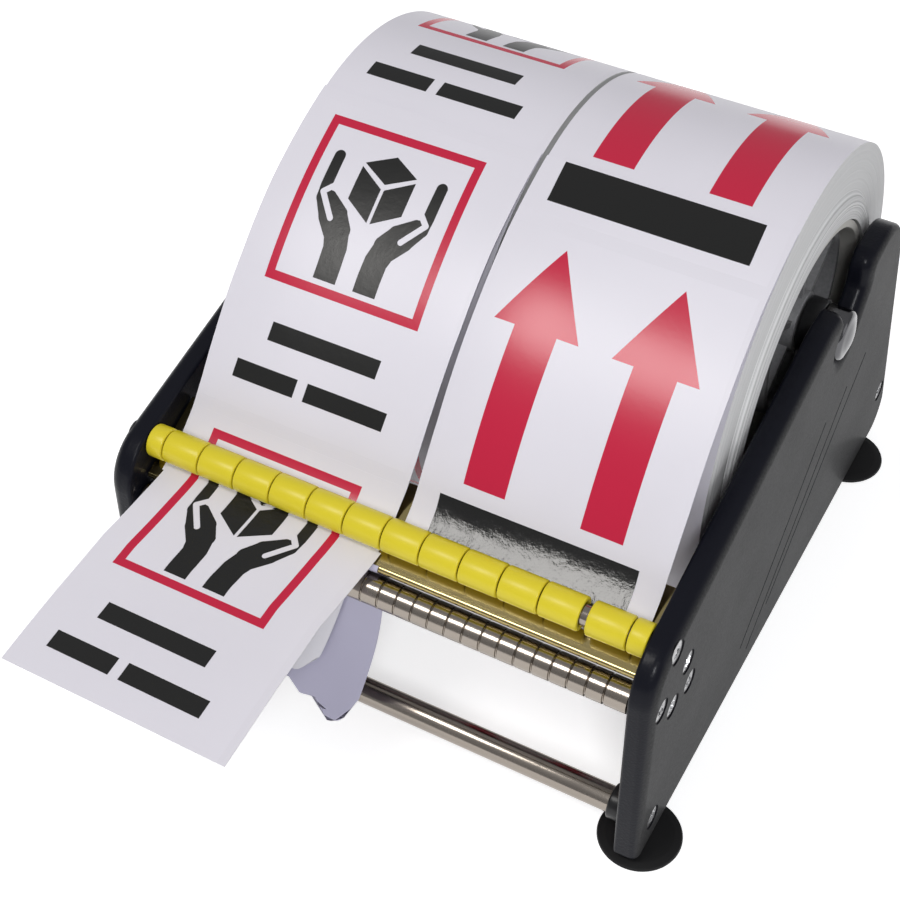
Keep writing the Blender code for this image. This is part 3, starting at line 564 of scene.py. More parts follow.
class Effects:
    """The node groups that several materials use, each built once."""

    edge: float = 0.08
    blotch: float = 0.025

    def __init__(self) -> None:
        """Build every group."""
        mask = "Mask"
        sizes = "Half width,Half height"
        self.grain = new_group("fine_grain", "Stretch", "Scale", "Grain,Blotch", self._grain)
        self.rectangle = new_group("printed_rectangle", "Point,Middle", sizes, mask, self._rectangle)
        ends = "Start radius,End radius"
        self.stroke = new_group("printed_stroke", "Point,Start,End", ends, mask, self._stroke)
        self.panel = new_group("printed_panel", "Point,Middle,First,Second", "Grow", mask, self._panel)
        sizes = "Half width,Height"
        self.arrowhead = new_group("printed_arrowhead", "Point,Middle", sizes, mask, self._arrowhead)

    def _inked(self, tree: Tree, distance: Socket) -> list[Socket]:
        """Return 1 where a distance in millimetres is below zero, over a soft edge."""
        return [tree.math("MULTIPLY_ADD", distance, -1 / self.edge, 0.5, clamp=True)]

    def _grain(self, tree: Tree, given: Given) -> list[Socket]:
        """Fine noise, and blotches forty times as large, on Object coordinates.

        Args:
            tree: The group's tree.
            given: The group's inputs by name.

        Returns:
            A socket for each of the group's outputs.
        """
        pulled = tree.vector("MULTIPLY", tree.node("TexCoord").outputs["Object"], given["Stretch"])
        broad_scale = tree.math("MULTIPLY", given["Scale"], self.blotch)
        return [tree.noise(pulled, given["Scale"], 4.0), tree.noise(pulled, broad_scale, 3.0)]

    def _rectangle(self, tree: Tree, given: Given) -> list[Socket]:
        """The larger of the distances past the width and past the height.

        Args:
            tree: The group's tree.
            given: The group's inputs by name.

        Returns:
            A socket for each of the group's outputs.
        """
        away = tree.parts(tree.vector("ABSOLUTE", tree.vector("SUBTRACT", given["Point"], given["Middle"])))
        across = tree.math("SUBTRACT", away[0], given["Half width"])
        along = tree.math("SUBTRACT", away[1], given["Half height"])
        return self._inked(tree, tree.math("MAXIMUM", across, along))

    def _stroke(self, tree: Tree, given: Given) -> list[Socket]:
        """Distance to a line between two points, less a radius that changes along it.

        Args:
            tree: The group's tree.
            given: The group's inputs by name.

        Returns:
            A socket for each of the group's outputs.
        """
        away = tree.vector("SUBTRACT", given["Point"], given["Start"])
        line = tree.vector("SUBTRACT", given["End"], given["Start"])
        dot = tree.number("DOT_PRODUCT", away, line)
        share = tree.math("DIVIDE", dot, tree.number("DOT_PRODUCT", line, line), clamp=True)
        foot = tree.node("VectorMath", {0: line, "Scale": share}, operation="SCALE").outputs[0]
        gap = tree.number("LENGTH", tree.vector("SUBTRACT", away, foot))
        widening = tree.math("SUBTRACT", given["End radius"], given["Start radius"])
        radius = tree.math("MULTIPLY_ADD", widening, share, given["Start radius"])
        return self._inked(tree, tree.math("SUBTRACT", gap, radius))

    def _panel(self, tree: Tree, given: Given) -> list[Socket]:
        """A slanted panel: both products with its two cross vectors stay within 1.

        Args:
            tree: The group's tree.
            given: The group's inputs by name.

        Returns:
            A socket for each of the group's outputs.
        """
        away = tree.vector("SUBTRACT", given["Point"], given["Middle"])
        sizes = [
            tree.math("ABSOLUTE", tree.number("DOT_PRODUCT", away, given[key])) for key in ("First", "Second")
        ]
        over = tree.math("SUBTRACT", tree.math("MAXIMUM", *sizes), 1.0)
        return self._inked(tree, tree.math("MULTIPLY", over, given["Grow"]))

    def _arrowhead(self, tree: Tree, given: Given) -> list[Socket]:
        """A triangle with its base at Middle: its half width falls evenly to zero over its height.

        Args:
            tree: The group's tree.
            given: The group's inputs by name.

        Returns:
            A socket for each of the group's outputs.
        """
        away = tree.parts(tree.vector("SUBTRACT", given["Point"], given["Middle"]))
        slope = tree.math("DIVIDE", given["Half width"], given["Height"])
        room = tree.math("SUBTRACT", given["Half width"], tree.math("MULTIPLY", away[1], slope))
        over = tree.math("SUBTRACT", tree.math("ABSOLUTE", away[0]), room)
        return self._inked(tree, tree.math("MAXIMUM", over, tree.math("MULTIPLY", away[1], -1.0)))


EFFECTS = Effects()


# Finishes


@dataclass(frozen=True)
class Finish:
    """A surface finish: a base colour with grain, blotches and small changes of gloss."""

    name: str
    colour: Colour
    roughness: float
    metallic: float = 0.0
    colour_change: float = 0.06
    gloss_change: float = 0.08
    grain_scale: float = 900.0
    grain_stretch: Colour = (1.0, 1.0, 1.0)
    grain_height: float = 0.01 * MM
    coat: float = 0.0
    coat_roughness: float = 0.12
    specular: float = 0.5

    def material(self) -> bpy.types.Material:
        """Return the finish's material, made on its first use.

        Returns:
            The material, named after the finish.
        """
        key = "finish_" + self.name
        if key in bpy.data.materials:
            return bpy.data.materials[key]
        made = bpy.data.materials.new(key)
        made.use_nodes = True
        shader = made.node_tree.nodes["Principled BSDF"]
        shader.inputs["Metallic"].default_value = self.metallic
        shader.inputs["Coat Weight"].default_value = self.coat
        shader.inputs["Coat Roughness"].default_value = self.coat_roughness
        shader.inputs["Specular IOR Level"].default_value = self.specular
        self.dress(Tree(made.node_tree), shader.inputs)
        return made

    def shades(self, amount: float) -> tuple[Feed, Feed]:
        """Return the colour made darker and lighter by an amount.

        Args:
            amount: The share that is taken off and added.

        Returns:
            Both colours, each with an alpha of 1.
        """
        low = tuple(channel * (1 - amount) for channel in self.colour)
        high = tuple(min(1.0, channel * (1 + amount)) for channel in self.colour)
        return (*low, 1.0), (*high, 1.0)

    def grain(self, tree: Tree) -> Given:
        """Return the fine grain and the blotches of the finish."""
        return tree.group(EFFECTS.grain, Scale=self.grain_scale, Stretch=self.grain_stretch)

    def tone(self, tree: Tree, grain: Given) -> Socket:
        """Return the base colour, which changes with the blotches."""
        return tree.mix(grain["Blotch"], *self.shades(self.colour_change))

    def gloss(self, tree: Tree, grain: Given) -> Socket:
        """Return the roughness, which changes with the blotches."""
        low = self.roughness - self.gloss_change
        return tree.ramp(grain["Blotch"], 0.0, 1.0, low, self.roughness + self.gloss_change)

    def dress(self, tree: Tree, sockets: Given) -> None:
        """Join the finish's nodes to its shader's sockets.

        Args:
            tree: The material's tree.
            sockets: The shader's inputs.
        """
        grain = self.grain(tree)
        tree.feed(sockets["Base Color"], self.tone(tree, grain))
        tree.feed(sockets["Roughness"], self.gloss(tree, grain))
        tree.feed(sockets["Normal"], self.bump(tree, grain["Grain"], self.grain_height))

    def bump(self, tree: Tree, height: Feed, depth: float, **normal: Socket) -> Socket:
        """Return the normal tilted by a height that changes over the surface."""
        return tree.node("Bump", {"Height": height, "Distance": depth, "Strength": 1.0, **normal}).outputs[0]


@dataclass(frozen=True)
class EnamelFinish(Finish):
    """A speckled surface, as the plates' enamel and the hubs' plastic.

    With a painted shade colour, it takes that colour where it is nearer to the middle than inner_edge:
    painted shade on the plates' rounded edges and inner faces, which face away from the light.
    """

    speckle: float = 0.5
    grain_range: Point = (0.3, 0.7)
    painted_shade_colour: Colour | None = None
    inner_roughness: float = 0.3
    inner_edge: Point = (67.3 * MM, 68.5 * MM)

    def dress(self, tree: Tree, sockets: Given) -> None:
        """Join grain, blotches, speckle and the painted shade to the shader's sockets.

        Args:
            tree: The material's tree.
            sockets: The shader's inputs.
        """
        grain = self.grain(tree)
        speckled = tree.mix(tree.ramp(grain["Grain"], *self.grain_range), *self.shades(self.speckle))
        base = tree.mix(0.5, speckled, self.tone(tree, grain))
        gloss = self.gloss(tree, grain)
        # painted shade: nearer the middle than the outer face, the plate takes the darker colour and gloss
        if self.painted_shade_colour:
            reach = tree.math("ABSOLUTE", tree.parts(tree.node("TexCoord").outputs["Object"])[0])
            outside = tree.ramp(reach, *self.inner_edge, smooth=True)
            base = tree.mix(outside, (*self.painted_shade_colour, 1.0), base)
            change = tree.math("SUBTRACT", gloss, self.inner_roughness)
            gloss = tree.math("MULTIPLY_ADD", outside, change, self.inner_roughness)
        tree.feed(sockets["Base Color"], base)
        tree.feed(sockets["Roughness"], gloss)
        tree.feed(sockets["Normal"], self.bump(tree, grain["Grain"], self.grain_height))


@dataclass(frozen=True)
class WoundFinish(Finish):
    """The cut edges of wound paper: rings whose tone and height change with the distance from the axis."""

    axis: Point = (0.0, 0.0)
    ring_pitch: float = 0.55 * MM
    band_pitch: float = 4.95 * MM
    ring_range: Point = (0.32, 0.68)
    band_range: Point = (0.35, 0.65)
    ring_change: float = 0.4
    band_change: float = 0.18
    wobble: Point = (25.0, 0.5 * MM)
    loose: Point = (47.8 * MM, 47.0 * MM)
    tight_share: float = 0.12
    ring_height: float = 0.3 * MM

    def rings(self, tree: Tree, reach: Feed, pitch: float, detail: float) -> Socket:
        """Return a noise that changes with the distance from the axis only."""
        inputs = {"W": reach, "Scale": 1 / pitch, "Detail": detail}
        return tree.node("TexNoise", inputs, noise_dimensions="1D").outputs[0]

    def dress(self, tree: Tree, sockets: Given) -> None:
        """Join the rings to the shader's sockets.

        Args:
            tree: The material's tree.
            sockets: The shader's inputs.
        """
        away = tree.vector("SUBTRACT", tree.node("TexCoord").outputs["Object"], (0.0, *self.axis))
        radius = tree.number("LENGTH", tree.vector("MULTIPLY", away, (0.0, 1.0, 1.0)))
        scale, width = self.wobble
        reach = tree.math("MULTIPLY_ADD", tree.noise(away, scale, 1.0), width, radius)
        rings = self.rings(tree, reach, self.ring_pitch, 3.0)
        bands = self.rings(tree, reach, self.band_pitch, 1.0)
        inner = tree.ramp(reach, *self.loose, self.tight_share, 1.0)
        fine = tree.mix(tree.ramp(rings, *self.ring_range), *self.shades(self.ring_change))
        broad = tree.mix(tree.ramp(bands, *self.band_range), *self.shades(self.band_change))
        lined = tree.mix(0.35, fine, broad)
        tree.feed(sockets["Base Color"], tree.mix(inner, (*self.colour, 1.0), lined))
        sockets["Roughness"].default_value = self.roughness
        height = tree.math("MULTIPLY", rings, inner)
        tree.feed(sockets["Normal"], self.bump(tree, height, self.ring_height))


@dataclass(frozen=True)
class PrintedFinish(Finish):
    """Coated label stock with its print, laid out in millimetres on the piece's print coordinates.

    A stroke of the hands is (start, end, radius at the start, radius at the end). A panel of the
    carton is (middle, half of one side, half of the other). The black ink is rippled, more so past
    the distance wrinkled, and there a sag tilts its shading over sag_length, to take a soft glare.
    """

    stock: Stock = Stock.CARTON
    pitch: float = 78.4
    gap_half: float = 1.6
    seam: float = -5.15
    red: Colour = (0.535, 0.008, 0.045)
    black: Colour = (0.004, 0.004, 0.0035)
    liner_share: float = 0.988
    ink_roughness: float = 0.24
    black_roughness: float = 0.34
    step: float = 1.2
    ripple: float = 9.0
    ripple_growth: float = 1.6
    wrinkled: float = 77.0
    sag_length: float = 13.0
    sag: float = 0.0
    symbol_shift: float = 0.4
    label_half: float = 28.5
    bars: tuple[tuple[Point, float], ...] = (((0.0, 51.3), 14.0), ((-11.6, 62.3), 8.0), ((9.3, 62.3), 10.3))
    hand: tuple[tuple[Point, Point, float, float], ...] = (
        ((5.1, 33.2), (5.25, 29.0), 2.85, 2.85),
        ((5.25, 29.0), (6.1, 26.2), 2.85, 2.95),
        ((6.1, 26.2), (9.3, 22.6), 2.95, 2.9),
        ((9.3, 22.6), (12.5, 19.3), 2.9, 1.9),
        ((12.5, 19.3), (13.2, 16.6), 1.9, 1.4),
        ((13.2, 16.6), (13.3, 9.2), 1.4, 1.35),
        ((6.2, 25.2), (7.4, 21.9), 3.0, 2.0),
        ((7.4, 21.9), (11.0, 18.7), 2.0, 1.3),
    )
    thumb_line: tuple[tuple[Point, Point, float, float], ...] = (
        ((11.4, 16.3), (13.3, 18.2), 0.7, 0.7),
        ((13.3, 18.2), (9.1, 23.3), 0.7, 0.7),
    )
    panels: tuple[tuple[Point, Point, Point], ...] = (
        ((0.0, 8.9), (3.35, -1.75), (3.35, 1.75)),
        ((-3.65, 15.8), (3.25, 1.9), (0.0, 4.05)),
        ((3.65, 15.8), (3.25, -1.9), (0.0, 4.05)),
    )

    def rectangle(
        self, tree: Tree, point: Feed, middle: Point, half_width: float, half_height: float
    ) -> Feed:
        """Return the mask of an upright rectangle."""
        sizes = {"Half_width": half_width, "Half_height": half_height}
        return tree.group(EFFECTS.rectangle, Point=point, Middle=(*middle, 0.0), **sizes)[0]

    def united(self, tree: Tree, masks: Sequence[Feed]) -> Feed:
        """Return the largest of several masks.

        Args:
            tree: The material's tree.
            masks: At least one mask.

        Returns:
            The joined mask.
        """
        whole = masks[0]
        for mask in masks[1:]:
            whole = tree.math("MAXIMUM", whole, mask)
        return whole

    def strokes(self, tree: Tree, point: Feed, lines: Sequence[tuple[Point, Point, float, float]]) -> Feed:
        """Return the mask of tapered strokes.

        Args:
            tree: The material's tree.
            point: Print coordinates.
            lines: Strokes, as the class describes them.

        Returns:
            The joined mask.
        """
        masks = []
        for start, end, first, last in lines:
            places = {"Point": point, "Start": (*start, 0.0), "End": (*end, 0.0)}
            masks.append(tree.group(EFFECTS.stroke, **places, Start_radius=first, End_radius=last)[0])
        return self.united(tree, masks)

    def carton_print(self, tree: Tree, point: Feed, symbol: Feed, mirrored: Feed) -> tuple[Feed, Feed]:
        """Lay out a red square with a carton between two plain hands, and bars in place of words.

        Args:
            tree: The material's tree.
            point: Print coordinates, with Y down from the top of the square.
            symbol: The same from the middle of the hands and the carton.
            mirrored: The same with X made positive.

        Returns:
            The red mask and the black mask.
        """
        outer = self.rectangle(tree, point, (0.0, 19.9), 19.9, 19.9)
        inner = self.rectangle(tree, point, (0.0, 19.9), 17.8, 17.8)
        black = [self.rectangle(tree, point, middle, half, 2.3) for middle, half in self.bars]
        black.append(self.rectangle(tree, mirrored, (5.1, 34.3), 2.85, 2.2))
        palm = self.strokes(tree, mirrored, self.hand)
        cut = self.strokes(tree, mirrored, self.thumb_line)
        black.append(tree.math("SUBTRACT", palm, cut, clamp=True))
        for middle, first, second in self.panels:
            area = first[0] * second[1] - first[1] * second[0]
            across = (second[1] / area, -second[0] / area, 0.0)
            down = (-first[1] / area, first[0] / area, 0.0)
            places = {"Point": symbol, "Middle": (*middle, 0.0), "First": across, "Second": down}
            black.append(tree.group(EFFECTS.panel, **places, Grow=3.0)[0])
        return tree.math("SUBTRACT", outer, inner, clamp=True), self.united(tree, black)

    def arrow_print(self, tree: Tree, point: Feed, mirrored: Feed) -> tuple[Feed, Feed]:
        """Lay out two red arrows that point up from a black bar.

        Args:
            tree: The material's tree.
            point: Print coordinates, with Y down.
            mirrored: The same with X made positive.

        Returns:
            The red mask and the black mask.
        """
        upward = tree.vector("MULTIPLY", mirrored, (1.0, -1.0, 1.0))
        middle = (14.05, 39.4, 0.0)
        head = tree.group(EFFECTS.arrowhead, Point=upward, Middle=middle, Half_width=10.15, Height=18.7)[0]
        shaft = self.rectangle(tree, mirrored, (14.05, -21.7), 5.05, 17.9)
        return tree.math("MAXIMUM", head, shaft), self.rectangle(tree, point, (0.0, 5.3), 24.0, 5.3)

    def dress(self, tree: Tree, sockets: Given) -> None:
        """Join the paper, the print and the cut edges of the labels to the shader's sockets.

        Args:
            tree: The material's tree.
            sockets: The shader's inputs.
        """
        across, along = tree.parts(tree.node("UVMap", uv_map="print").outputs[0])[:2]
        across = tree.math("MULTIPLY", across, 100.0)
        fallen = tree.math("MULTIPLY", along, -100.0)
        turn = tree.math("FLOORED_MODULO", tree.math("SUBTRACT", fallen, self.seam), self.pitch)
        local = tree.math("ADD", turn, self.seam)
        point = tree.node("CombineXYZ", {0: across, 1: local}).outputs[0]
        carton = self.stock is Stock.CARTON
        shifted = tree.math("ADD", across, self.symbol_shift if carton else 0.0)
        mirrored = tree.node("CombineXYZ", {0: tree.math("ABSOLUTE", shifted), 1: local}).outputs[0]
        if carton:
            symbol = tree.node("CombineXYZ", {0: shifted, 1: local}).outputs[0]
            red, black = self.carton_print(tree, point, symbol, mirrored)
        else:
            red, black = self.arrow_print(tree, point, mirrored)
        middle = (0.0, self.seam + self.pitch / 2)
        label = self.rectangle(tree, point, middle, self.label_half, self.pitch / 2 - self.gap_half)
        grain = self.grain(tree)
        liner = tuple(channel * self.liner_share for channel in self.colour)
        stock = tree.mix(label, (*liner, 1.0), self.tone(tree, grain))
        inked = tree.mix(black, tree.mix(red, stock, (*self.red, 1.0)), (*self.black, 1.0))
        tree.feed(sockets["Base Color"], inked)
        gloss = tree.math("MULTIPLY_ADD", red, self.ink_roughness - self.roughness, self.roughness)
        gloss = tree.math("MULTIPLY_ADD", black, self.black_roughness - self.roughness, gloss)
        uneven = tree.ramp(grain["Blotch"], 0.0, 1.0, -self.gloss_change, self.gloss_change)
        tree.feed(sockets["Roughness"], tree.math("ADD", gloss, uneven))
        near = tree.ramp(fallen, self.wrinkled, self.wrinkled + self.sag_length)
        growth = tree.math("MULTIPLY_ADD", near, self.ripple_growth, 1.0)
        wrinkles = tree.math("MULTIPLY", tree.noise(point, 0.16, 5.0, 0.65), growth)
        step = tree.math("MULTIPLY_ADD", label, self.step, grain["Grain"])
        step = tree.math("MULTIPLY_ADD", tree.math("MULTIPLY", black, wrinkles), self.ripple, step)
        normal = self.bump(tree, step, self.grain_height)
        if self.sag:
            height = tree.math("MULTIPLY", near, tree.math("MULTIPLY_ADD", near, -0.5, 1.0))
            tilted = self.bump(tree, height, self.sag * self.sag_length * MM, Normal=normal)
            normal = tree.node("Mix", {0: black, 4: normal, 5: tilted}, data_type="VECTOR").outputs[1]
        tree.feed(sockets["Normal"], normal)


ROLL_AXIS = joint_point("roll_right_spin")
PAPER: Colour = (0.74, 0.72, 0.78)

PLATE_FACE = EnamelFinish(
    "plate_face",
    (0.034, 0.034, 0.035),
    0.6,
    grain_scale=1700.0,
    grain_height=0.06 * MM,
    coat=0.06,
    specular=0.08,
    speckle=0.6,
    # painted shade colour of the plates' rounded edges and inner faces
    painted_shade_colour=(0.007, 0.0075, 0.012),
)
# a shaded copy of the plate's colour: painted shade inside the countersinks and grooves
PLATE_PAINTED_SHADE = Finish("plate_edge", (0.006, 0.006, 0.009), 0.35, grain_scale=300.0, specular=0.15)
STEEL = Finish(
    "polished_steel", (0.31, 0.275, 0.24), 0.18, 1.0, 0.06, 0.07, 500.0, grain_stretch=(6.0, 1.0, 1.0)
)
# the gold tint of the peel steel is a painted reflection of the yellow sleeves above it
PEEL_STEEL_PAINTED_REFLECTION = Finish(
    "peel_steel_painted_reflection", (0.39, 0.315, 0.14), 0.13, 1.0, 0.06, 0.06, 600.0, grain_stretch=(0.2, 3.0, 3.0)
)
CHROME = Finish("chrome", (0.12, 0.12, 0.125), 0.16, 1.0, gloss_change=0.05, grain_height=0.004 * MM)
SCREW_STEEL = Finish("screw_steel", (0.4, 0.4, 0.405), 0.28, 1.0, gloss_change=0.12, grain_scale=1600.0)
ALUMINIUM = Finish("bar_aluminium", (0.52, 0.52, 0.52), 0.38, 1.0, grain_stretch=(0.1, 4.0, 4.0))
YELLOW = Finish("yellow_plastic", (0.72, 0.6, 0.024), 0.33, 0.0, 0.05, grain_scale=260.0, specular=0.4)
BLACK = Finish(
    "black_plastic", (0.01, 0.01, 0.011), 0.3, specular=0.35, grain_scale=700.0, grain_height=0.02 * MM
)
HUB = EnamelFinish("hub_plastic", (0.2, 0.2, 0.205), 0.42, grain_scale=1100.0, speckle=0.25)
RUBBER = Finish(
    "black_rubber", (0.007, 0.007, 0.0075), 0.6, 0.0, 0.06, 0.12, 500.0, specular=0.25, grain_height=0.03 * MM
)
BOARD = Finish(
    "core_board", (0.5, 0.49, 0.46), 0.85, 0.0, 0.2, grain_stretch=(0.4, 1.0, 1.0), grain_height=0.08 * MM
)
LINER = Finish("liner_paper", (0.49, 0.475, 0.6), 0.42, 0.0, 0.05, grain_scale=400.0, specular=0.3)
LABEL_BACK = Finish("label_back", (0.74, 0.73, 0.77), 0.6, grain_scale=700.0, grain_height=0.02 * MM)
WOUND = WoundFinish("wound_edges", (0.68, 0.68, 0.68), 0.8, axis=ROLL_AXIS, specular=0.2)
ARROWS = {"seam": 15.4 - 78.4, "label_half": 29.4, "black_roughness": 0.14, "sag": 0.3}
PRINTS = {
    Side.LEFT: PrintedFinish("carton_labels", PAPER, 0.38),
    Side.RIGHT: PrintedFinish("arrow_labels", PAPER, 0.38, stock=Stock.ARROWS, **ARROWS),
}


def paint(made: Piece, *finishes: Finish) -> Piece:
    """Give a piece its materials in order.

    Args:
        made: The piece.
        finishes: One finish for each material slot.

    Returns:
        The same piece.
    """
    for finish in finishes:
        made.data.materials.append(finish.material())
    return made


# Sub-assemblies


@dataclass
class Screws:
    """The countersunk cross-head screws in both plates."""

    uses: tuple[str, ...] = (
        "pressure_rod", "bar_upper", "bar_lower", "bar_front", "liner_shaft", "front_tie", "rear_tie"
    )
    head: float = 2.75 * MM
    rim: float = 0.97
    edge: float = 0.3 * MM
    shank: float = 1.4 * MM
    length: float = 13.9 * MM
    dome: float = 0.22 * MM
    twist: float = 0.7
    soft: float = 0.1 * MM
    overrun: float = 2.0 * MM
    bore_depth: float = 9.0 * MM
    rim_drop: float = 0.05 * MM
    recess_depth: float = 1.5 * MM
    recess_half_width: float = 0.46 * MM
    recess_reach: float = 1.7 * MM
    rings: int = 26
    segments: int = 72

    def hole(self, side: Side, face: float, use: str) -> Piece:
        """Return the cutter of a countersunk hole in a plate's outer face.

        Args:
            side: The plate's side.
            face: X of the outer face.
            use: What the screw holds.

        Returns:
            The cutter.
        """
        sign = -side.value
        wide = self.head + SEAT_GAP
        bore = self.shank + SEAT_GAP
        corners = [
            (0, -self.overrun * sign),
            (wide, -self.overrun * sign),
            (wide, self.edge * sign),
            (bore, (self.edge + wide - bore) * sign),
            (bore, self.bore_depth * sign),
            (0, self.bore_depth * sign),
        ]
        centre = measured(f"screw_{use}_{side.word}")[2]
        return turned(f"hole_{use}", corners, (face, *centre[1:]), 0.04 * MM, 36)

    def build(self) -> None:
        """Build every screw: rings of a domed head whose cross recess is a product of smooth steps."""
        ring = np.concatenate([np.linspace(0, 0.96, self.rings), [0.985, 1.0]])[:, None] * self.head
        angle = np.linspace(0, 2 * np.pi, self.segments, endpoint=False)
        first = ring * np.cos(angle)
        second = ring * np.sin(angle)
        half = self.recess_half_width
        arms = [
            (1 - eased(np.abs(a), half - self.soft, half + self.soft))
            * (1 - eased(np.abs(b), self.recess_reach - 4 * self.soft, self.recess_reach))
            for a, b in ((first, second), (second, first))
        ]
        bulge = self.dome * (1 - (ring / self.head) ** 2)
        drop = np.where(ring > self.rim * self.head, -self.rim_drop, 0)
        height = drop + bulge - np.maximum(*arms) * self.recess_depth - self.dome
        below = np.array([[self.head, self.edge], [self.shank, self.edge + self.head - self.shank]])
        below = np.vstack([below, [[self.shank, self.length], [0, self.length]]])
        radius = np.vstack([np.broadcast_to(ring, first.shape), np.tile(below[:, :1], self.segments)])
        along = np.vstack([height, np.tile(-below[:, 1:], self.segments)])
        for side in Side:
            for index, use in enumerate(self.uses):
                node = f"screw_{use}_{side.word}"
                low, high, centre, _ = measured(node)
                turn = angle + self.twist * index
                x = (high.x if side is Side.RIGHT else low.x) + side.value * along
                points = np.dstack([x, centre[1] + radius * np.cos(turn), centre[2] + radius * np.sin(turn)])
                made = Shell(f"{use}_screw_{side.word}").add_grid(points, round_columns=True).piece()
                seat(paint(made, SCREW_STEEL), "frame", "screw_steel", node)


@dataclass
class SidePlates:
    """The two slotted plates, with rounded edges, countersinks and thin grooves outside.

    A corner is (depth, height, radius, rounding of the outer edge) in millimetres, the toe first. The
    outer edge is widely rounded along the front and the top, and less along the bottom and the rear.
    """

    rounding: float = 3.2
    inner_rounding: float = 0.8 * MM
    arc_steps: int = 9
    slot_seat: Point = (107.6, 76.1)
    slot_angle: float = math.radians(49.55)
    slot_half: float = 6.65
    hook_reach: float = 8.1
    knee_reach: float = 12.3
    lobe: tuple[float, ...] = (144.9, 89.2, 17.0, 1.9)
    knee_radius: float = 3.5
    top_radius: float = 5.0
    hook_radius: float = 3.4
    lower_corners: tuple[tuple[float, ...], ...] = ((-1.3, 1.5, 2.4, 2.2), (166.1, 1.5, 8.0, 1.2))
    front_corners: tuple[tuple[float, ...], ...] = ((93.0, 87.3, 25.0), (-1.3, 66.8, 12.5))
    groove_width: float = 0.7 * MM
    groove_depth: float = 0.5 * MM
    grooves: tuple[tuple[Point, Point], ...] = (
        ((130.7, 52.5), (74.3, 13.5)),
        ((117.0, 52.2), (62.5, 8.9)),
        ((102.0, 52.6), (57.0, 15.0)),
    )

    def slot_point(self, along: float, across: float) -> Point:
        """Return a point by its distance along the slot from the seat and to the rear of its middle.

        Args:
            along: Millimetres up the slot.
            across: Millimetres to the rear.

        Returns:
            Depth and height in millimetres.
        """
        cosine = math.cos(self.slot_angle)
        sine = math.sin(self.slot_angle)
        depth, height = self.slot_seat
        return (depth + along * cosine + across * sine, height + along * sine - across * cosine)

    def outline(self) -> tuple[np.ndarray, np.ndarray, np.ndarray]:
        """Return the outline's (Y, Z) points in metres, its outward normals and its outer rounding.

        Returns:
            Three arrays with a row for each point of the outline.
        """
        half = self.slot_half
        knee = self.slot_point(self.knee_reach, half)
        wide = [
            (knee[0], self.lobe[1], self.top_radius),
            (*knee, self.knee_radius),
            (*self.slot_point(-half, half), half),
            (*self.slot_point(-half, -half), half),
            (*self.slot_point(self.hook_reach, -half), self.hook_radius),
            *self.front_corners,
        ]
        corners = [*self.lower_corners, self.lobe, *((*corner, self.rounding) for corner in wide)]
        table = np.array(corners) * MM
        points, normals = filleted(table[:, :2], table[:, 2], self.arc_steps)
        points[:, 0] += FRONT_Y
        return points, -normals, np.repeat(table[:, 3], self.arc_steps + 1)

    def groove(self, name: str, ends: tuple[Point, Point], face: float) -> Piece:
        """Return the cutter of a groove: a thin box between two (depth, height) ends on a face.

        Args:
            name: The cutter's name.
            ends: Both ends in millimetres.
            face: X of the plate's outer face.

        Returns:
            The cutter.
        """
        start, end = np.array(ends) * MM + [FRONT_Y, 0]
        line = end - start
        across = unit(np.array([-line[1], line[0]])) * self.groove_width
        middle = np.array([face, *(start + end) / 2])
        sides = np.array([[2 * self.groove_depth, 0, 0], [0, *line], [0, *across]])
        return Shell(name).add_boxes(middle[None], sides[None]).piece()

    def build(self, screws: Screws) -> None:
        """Build, cut and dress both plates.

        Args:
            screws: The screws whose holes are cut.
        """
        points, normals, rounding = self.outline()
        angle = np.linspace(0, np.pi / 2, 9)[:, None]
        near = np.full(len(points), self.inner_rounding)
        fall = np.vstack([near * (1 - np.sin(angle)), (rounding * (1 - np.sin(angle)))[::-1]])
        flat = points[None] - normals[None] * fall[..., None]
        for side in Side:
            node = f"side_plate_{side.word}"
            low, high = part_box(node)
            inner, outer = (low.x, high.x) if side is Side.RIGHT else (high.x, low.x)
            first = inner + side.value * near * (1 - np.cos(angle))
            last = (outer - side.value * rounding * (1 - np.cos(angle)))[::-1]
            grid = np.dstack([np.vstack([first, last]), flat])
            shell = Shell(f"plate_{side.word}").add_grid(grid, round_columns=True, caps=True)
            plate = paint(shell.piece(), PLATE_FACE, PLATE_PAINTED_SHADE)
            cutters = [screws.hole(side, outer, use) for use in screws.uses]
            cutters += [self.groove(f"groove_{n}", ends, outer) for n, ends in enumerate(self.grooves)]
            # the cutters' faces, inside the countersinks and grooves, take the painted shade colour
            for cutter in cutters:
                paint(cutter, PLATE_FACE, PLATE_PAINTED_SHADE)
                cutter.data.polygons.foreach_set("material_index", [1] * len(cutter.data.polygons))
            seat(applied(plate, cutters), "frame", "charcoal_enamel", node)


@dataclass
class Feet:
    """The four suction feet: a flared cup with a thin lip on a short neck."""

    radius: float = 10.0 * MM
    lip: float = 0.7 * MM
    neck: float = 3.1 * MM
    stem: float = 1.7 * MM
    shoulder: float = 1.3 * MM

    def build(self) -> None:
        """Build the feet where the CAD ones stand."""
        for side in Side:
            for end in ("front", "rear"):
                node = f"foot_{end}_{side.word}"
                low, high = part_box(node)
                corners = [
                    (0, high.z),
                    (self.stem, high.z),
                    (self.stem, self.shoulder),
                    (self.neck, self.shoulder),
                    (self.radius * 0.8, 1.0 * MM),
                    (self.radius - 0.3 * MM, self.lip),
                    (self.radius, 0),
                    (self.radius - 1.1 * MM, 0),
                    (self.radius * 0.55, 0.3 * MM),
                    (0, 0.4 * MM),
                ]
                centre = ((low.x + high.x) / 2, (low.y + high.y) / 2, 0)
                made = turned(f"cup_{end}_{side.word}", corners, centre, 0.12 * MM, 64, Axis.UP)
                seat(paint(made, RUBBER), "frame", "black_rubber", node)


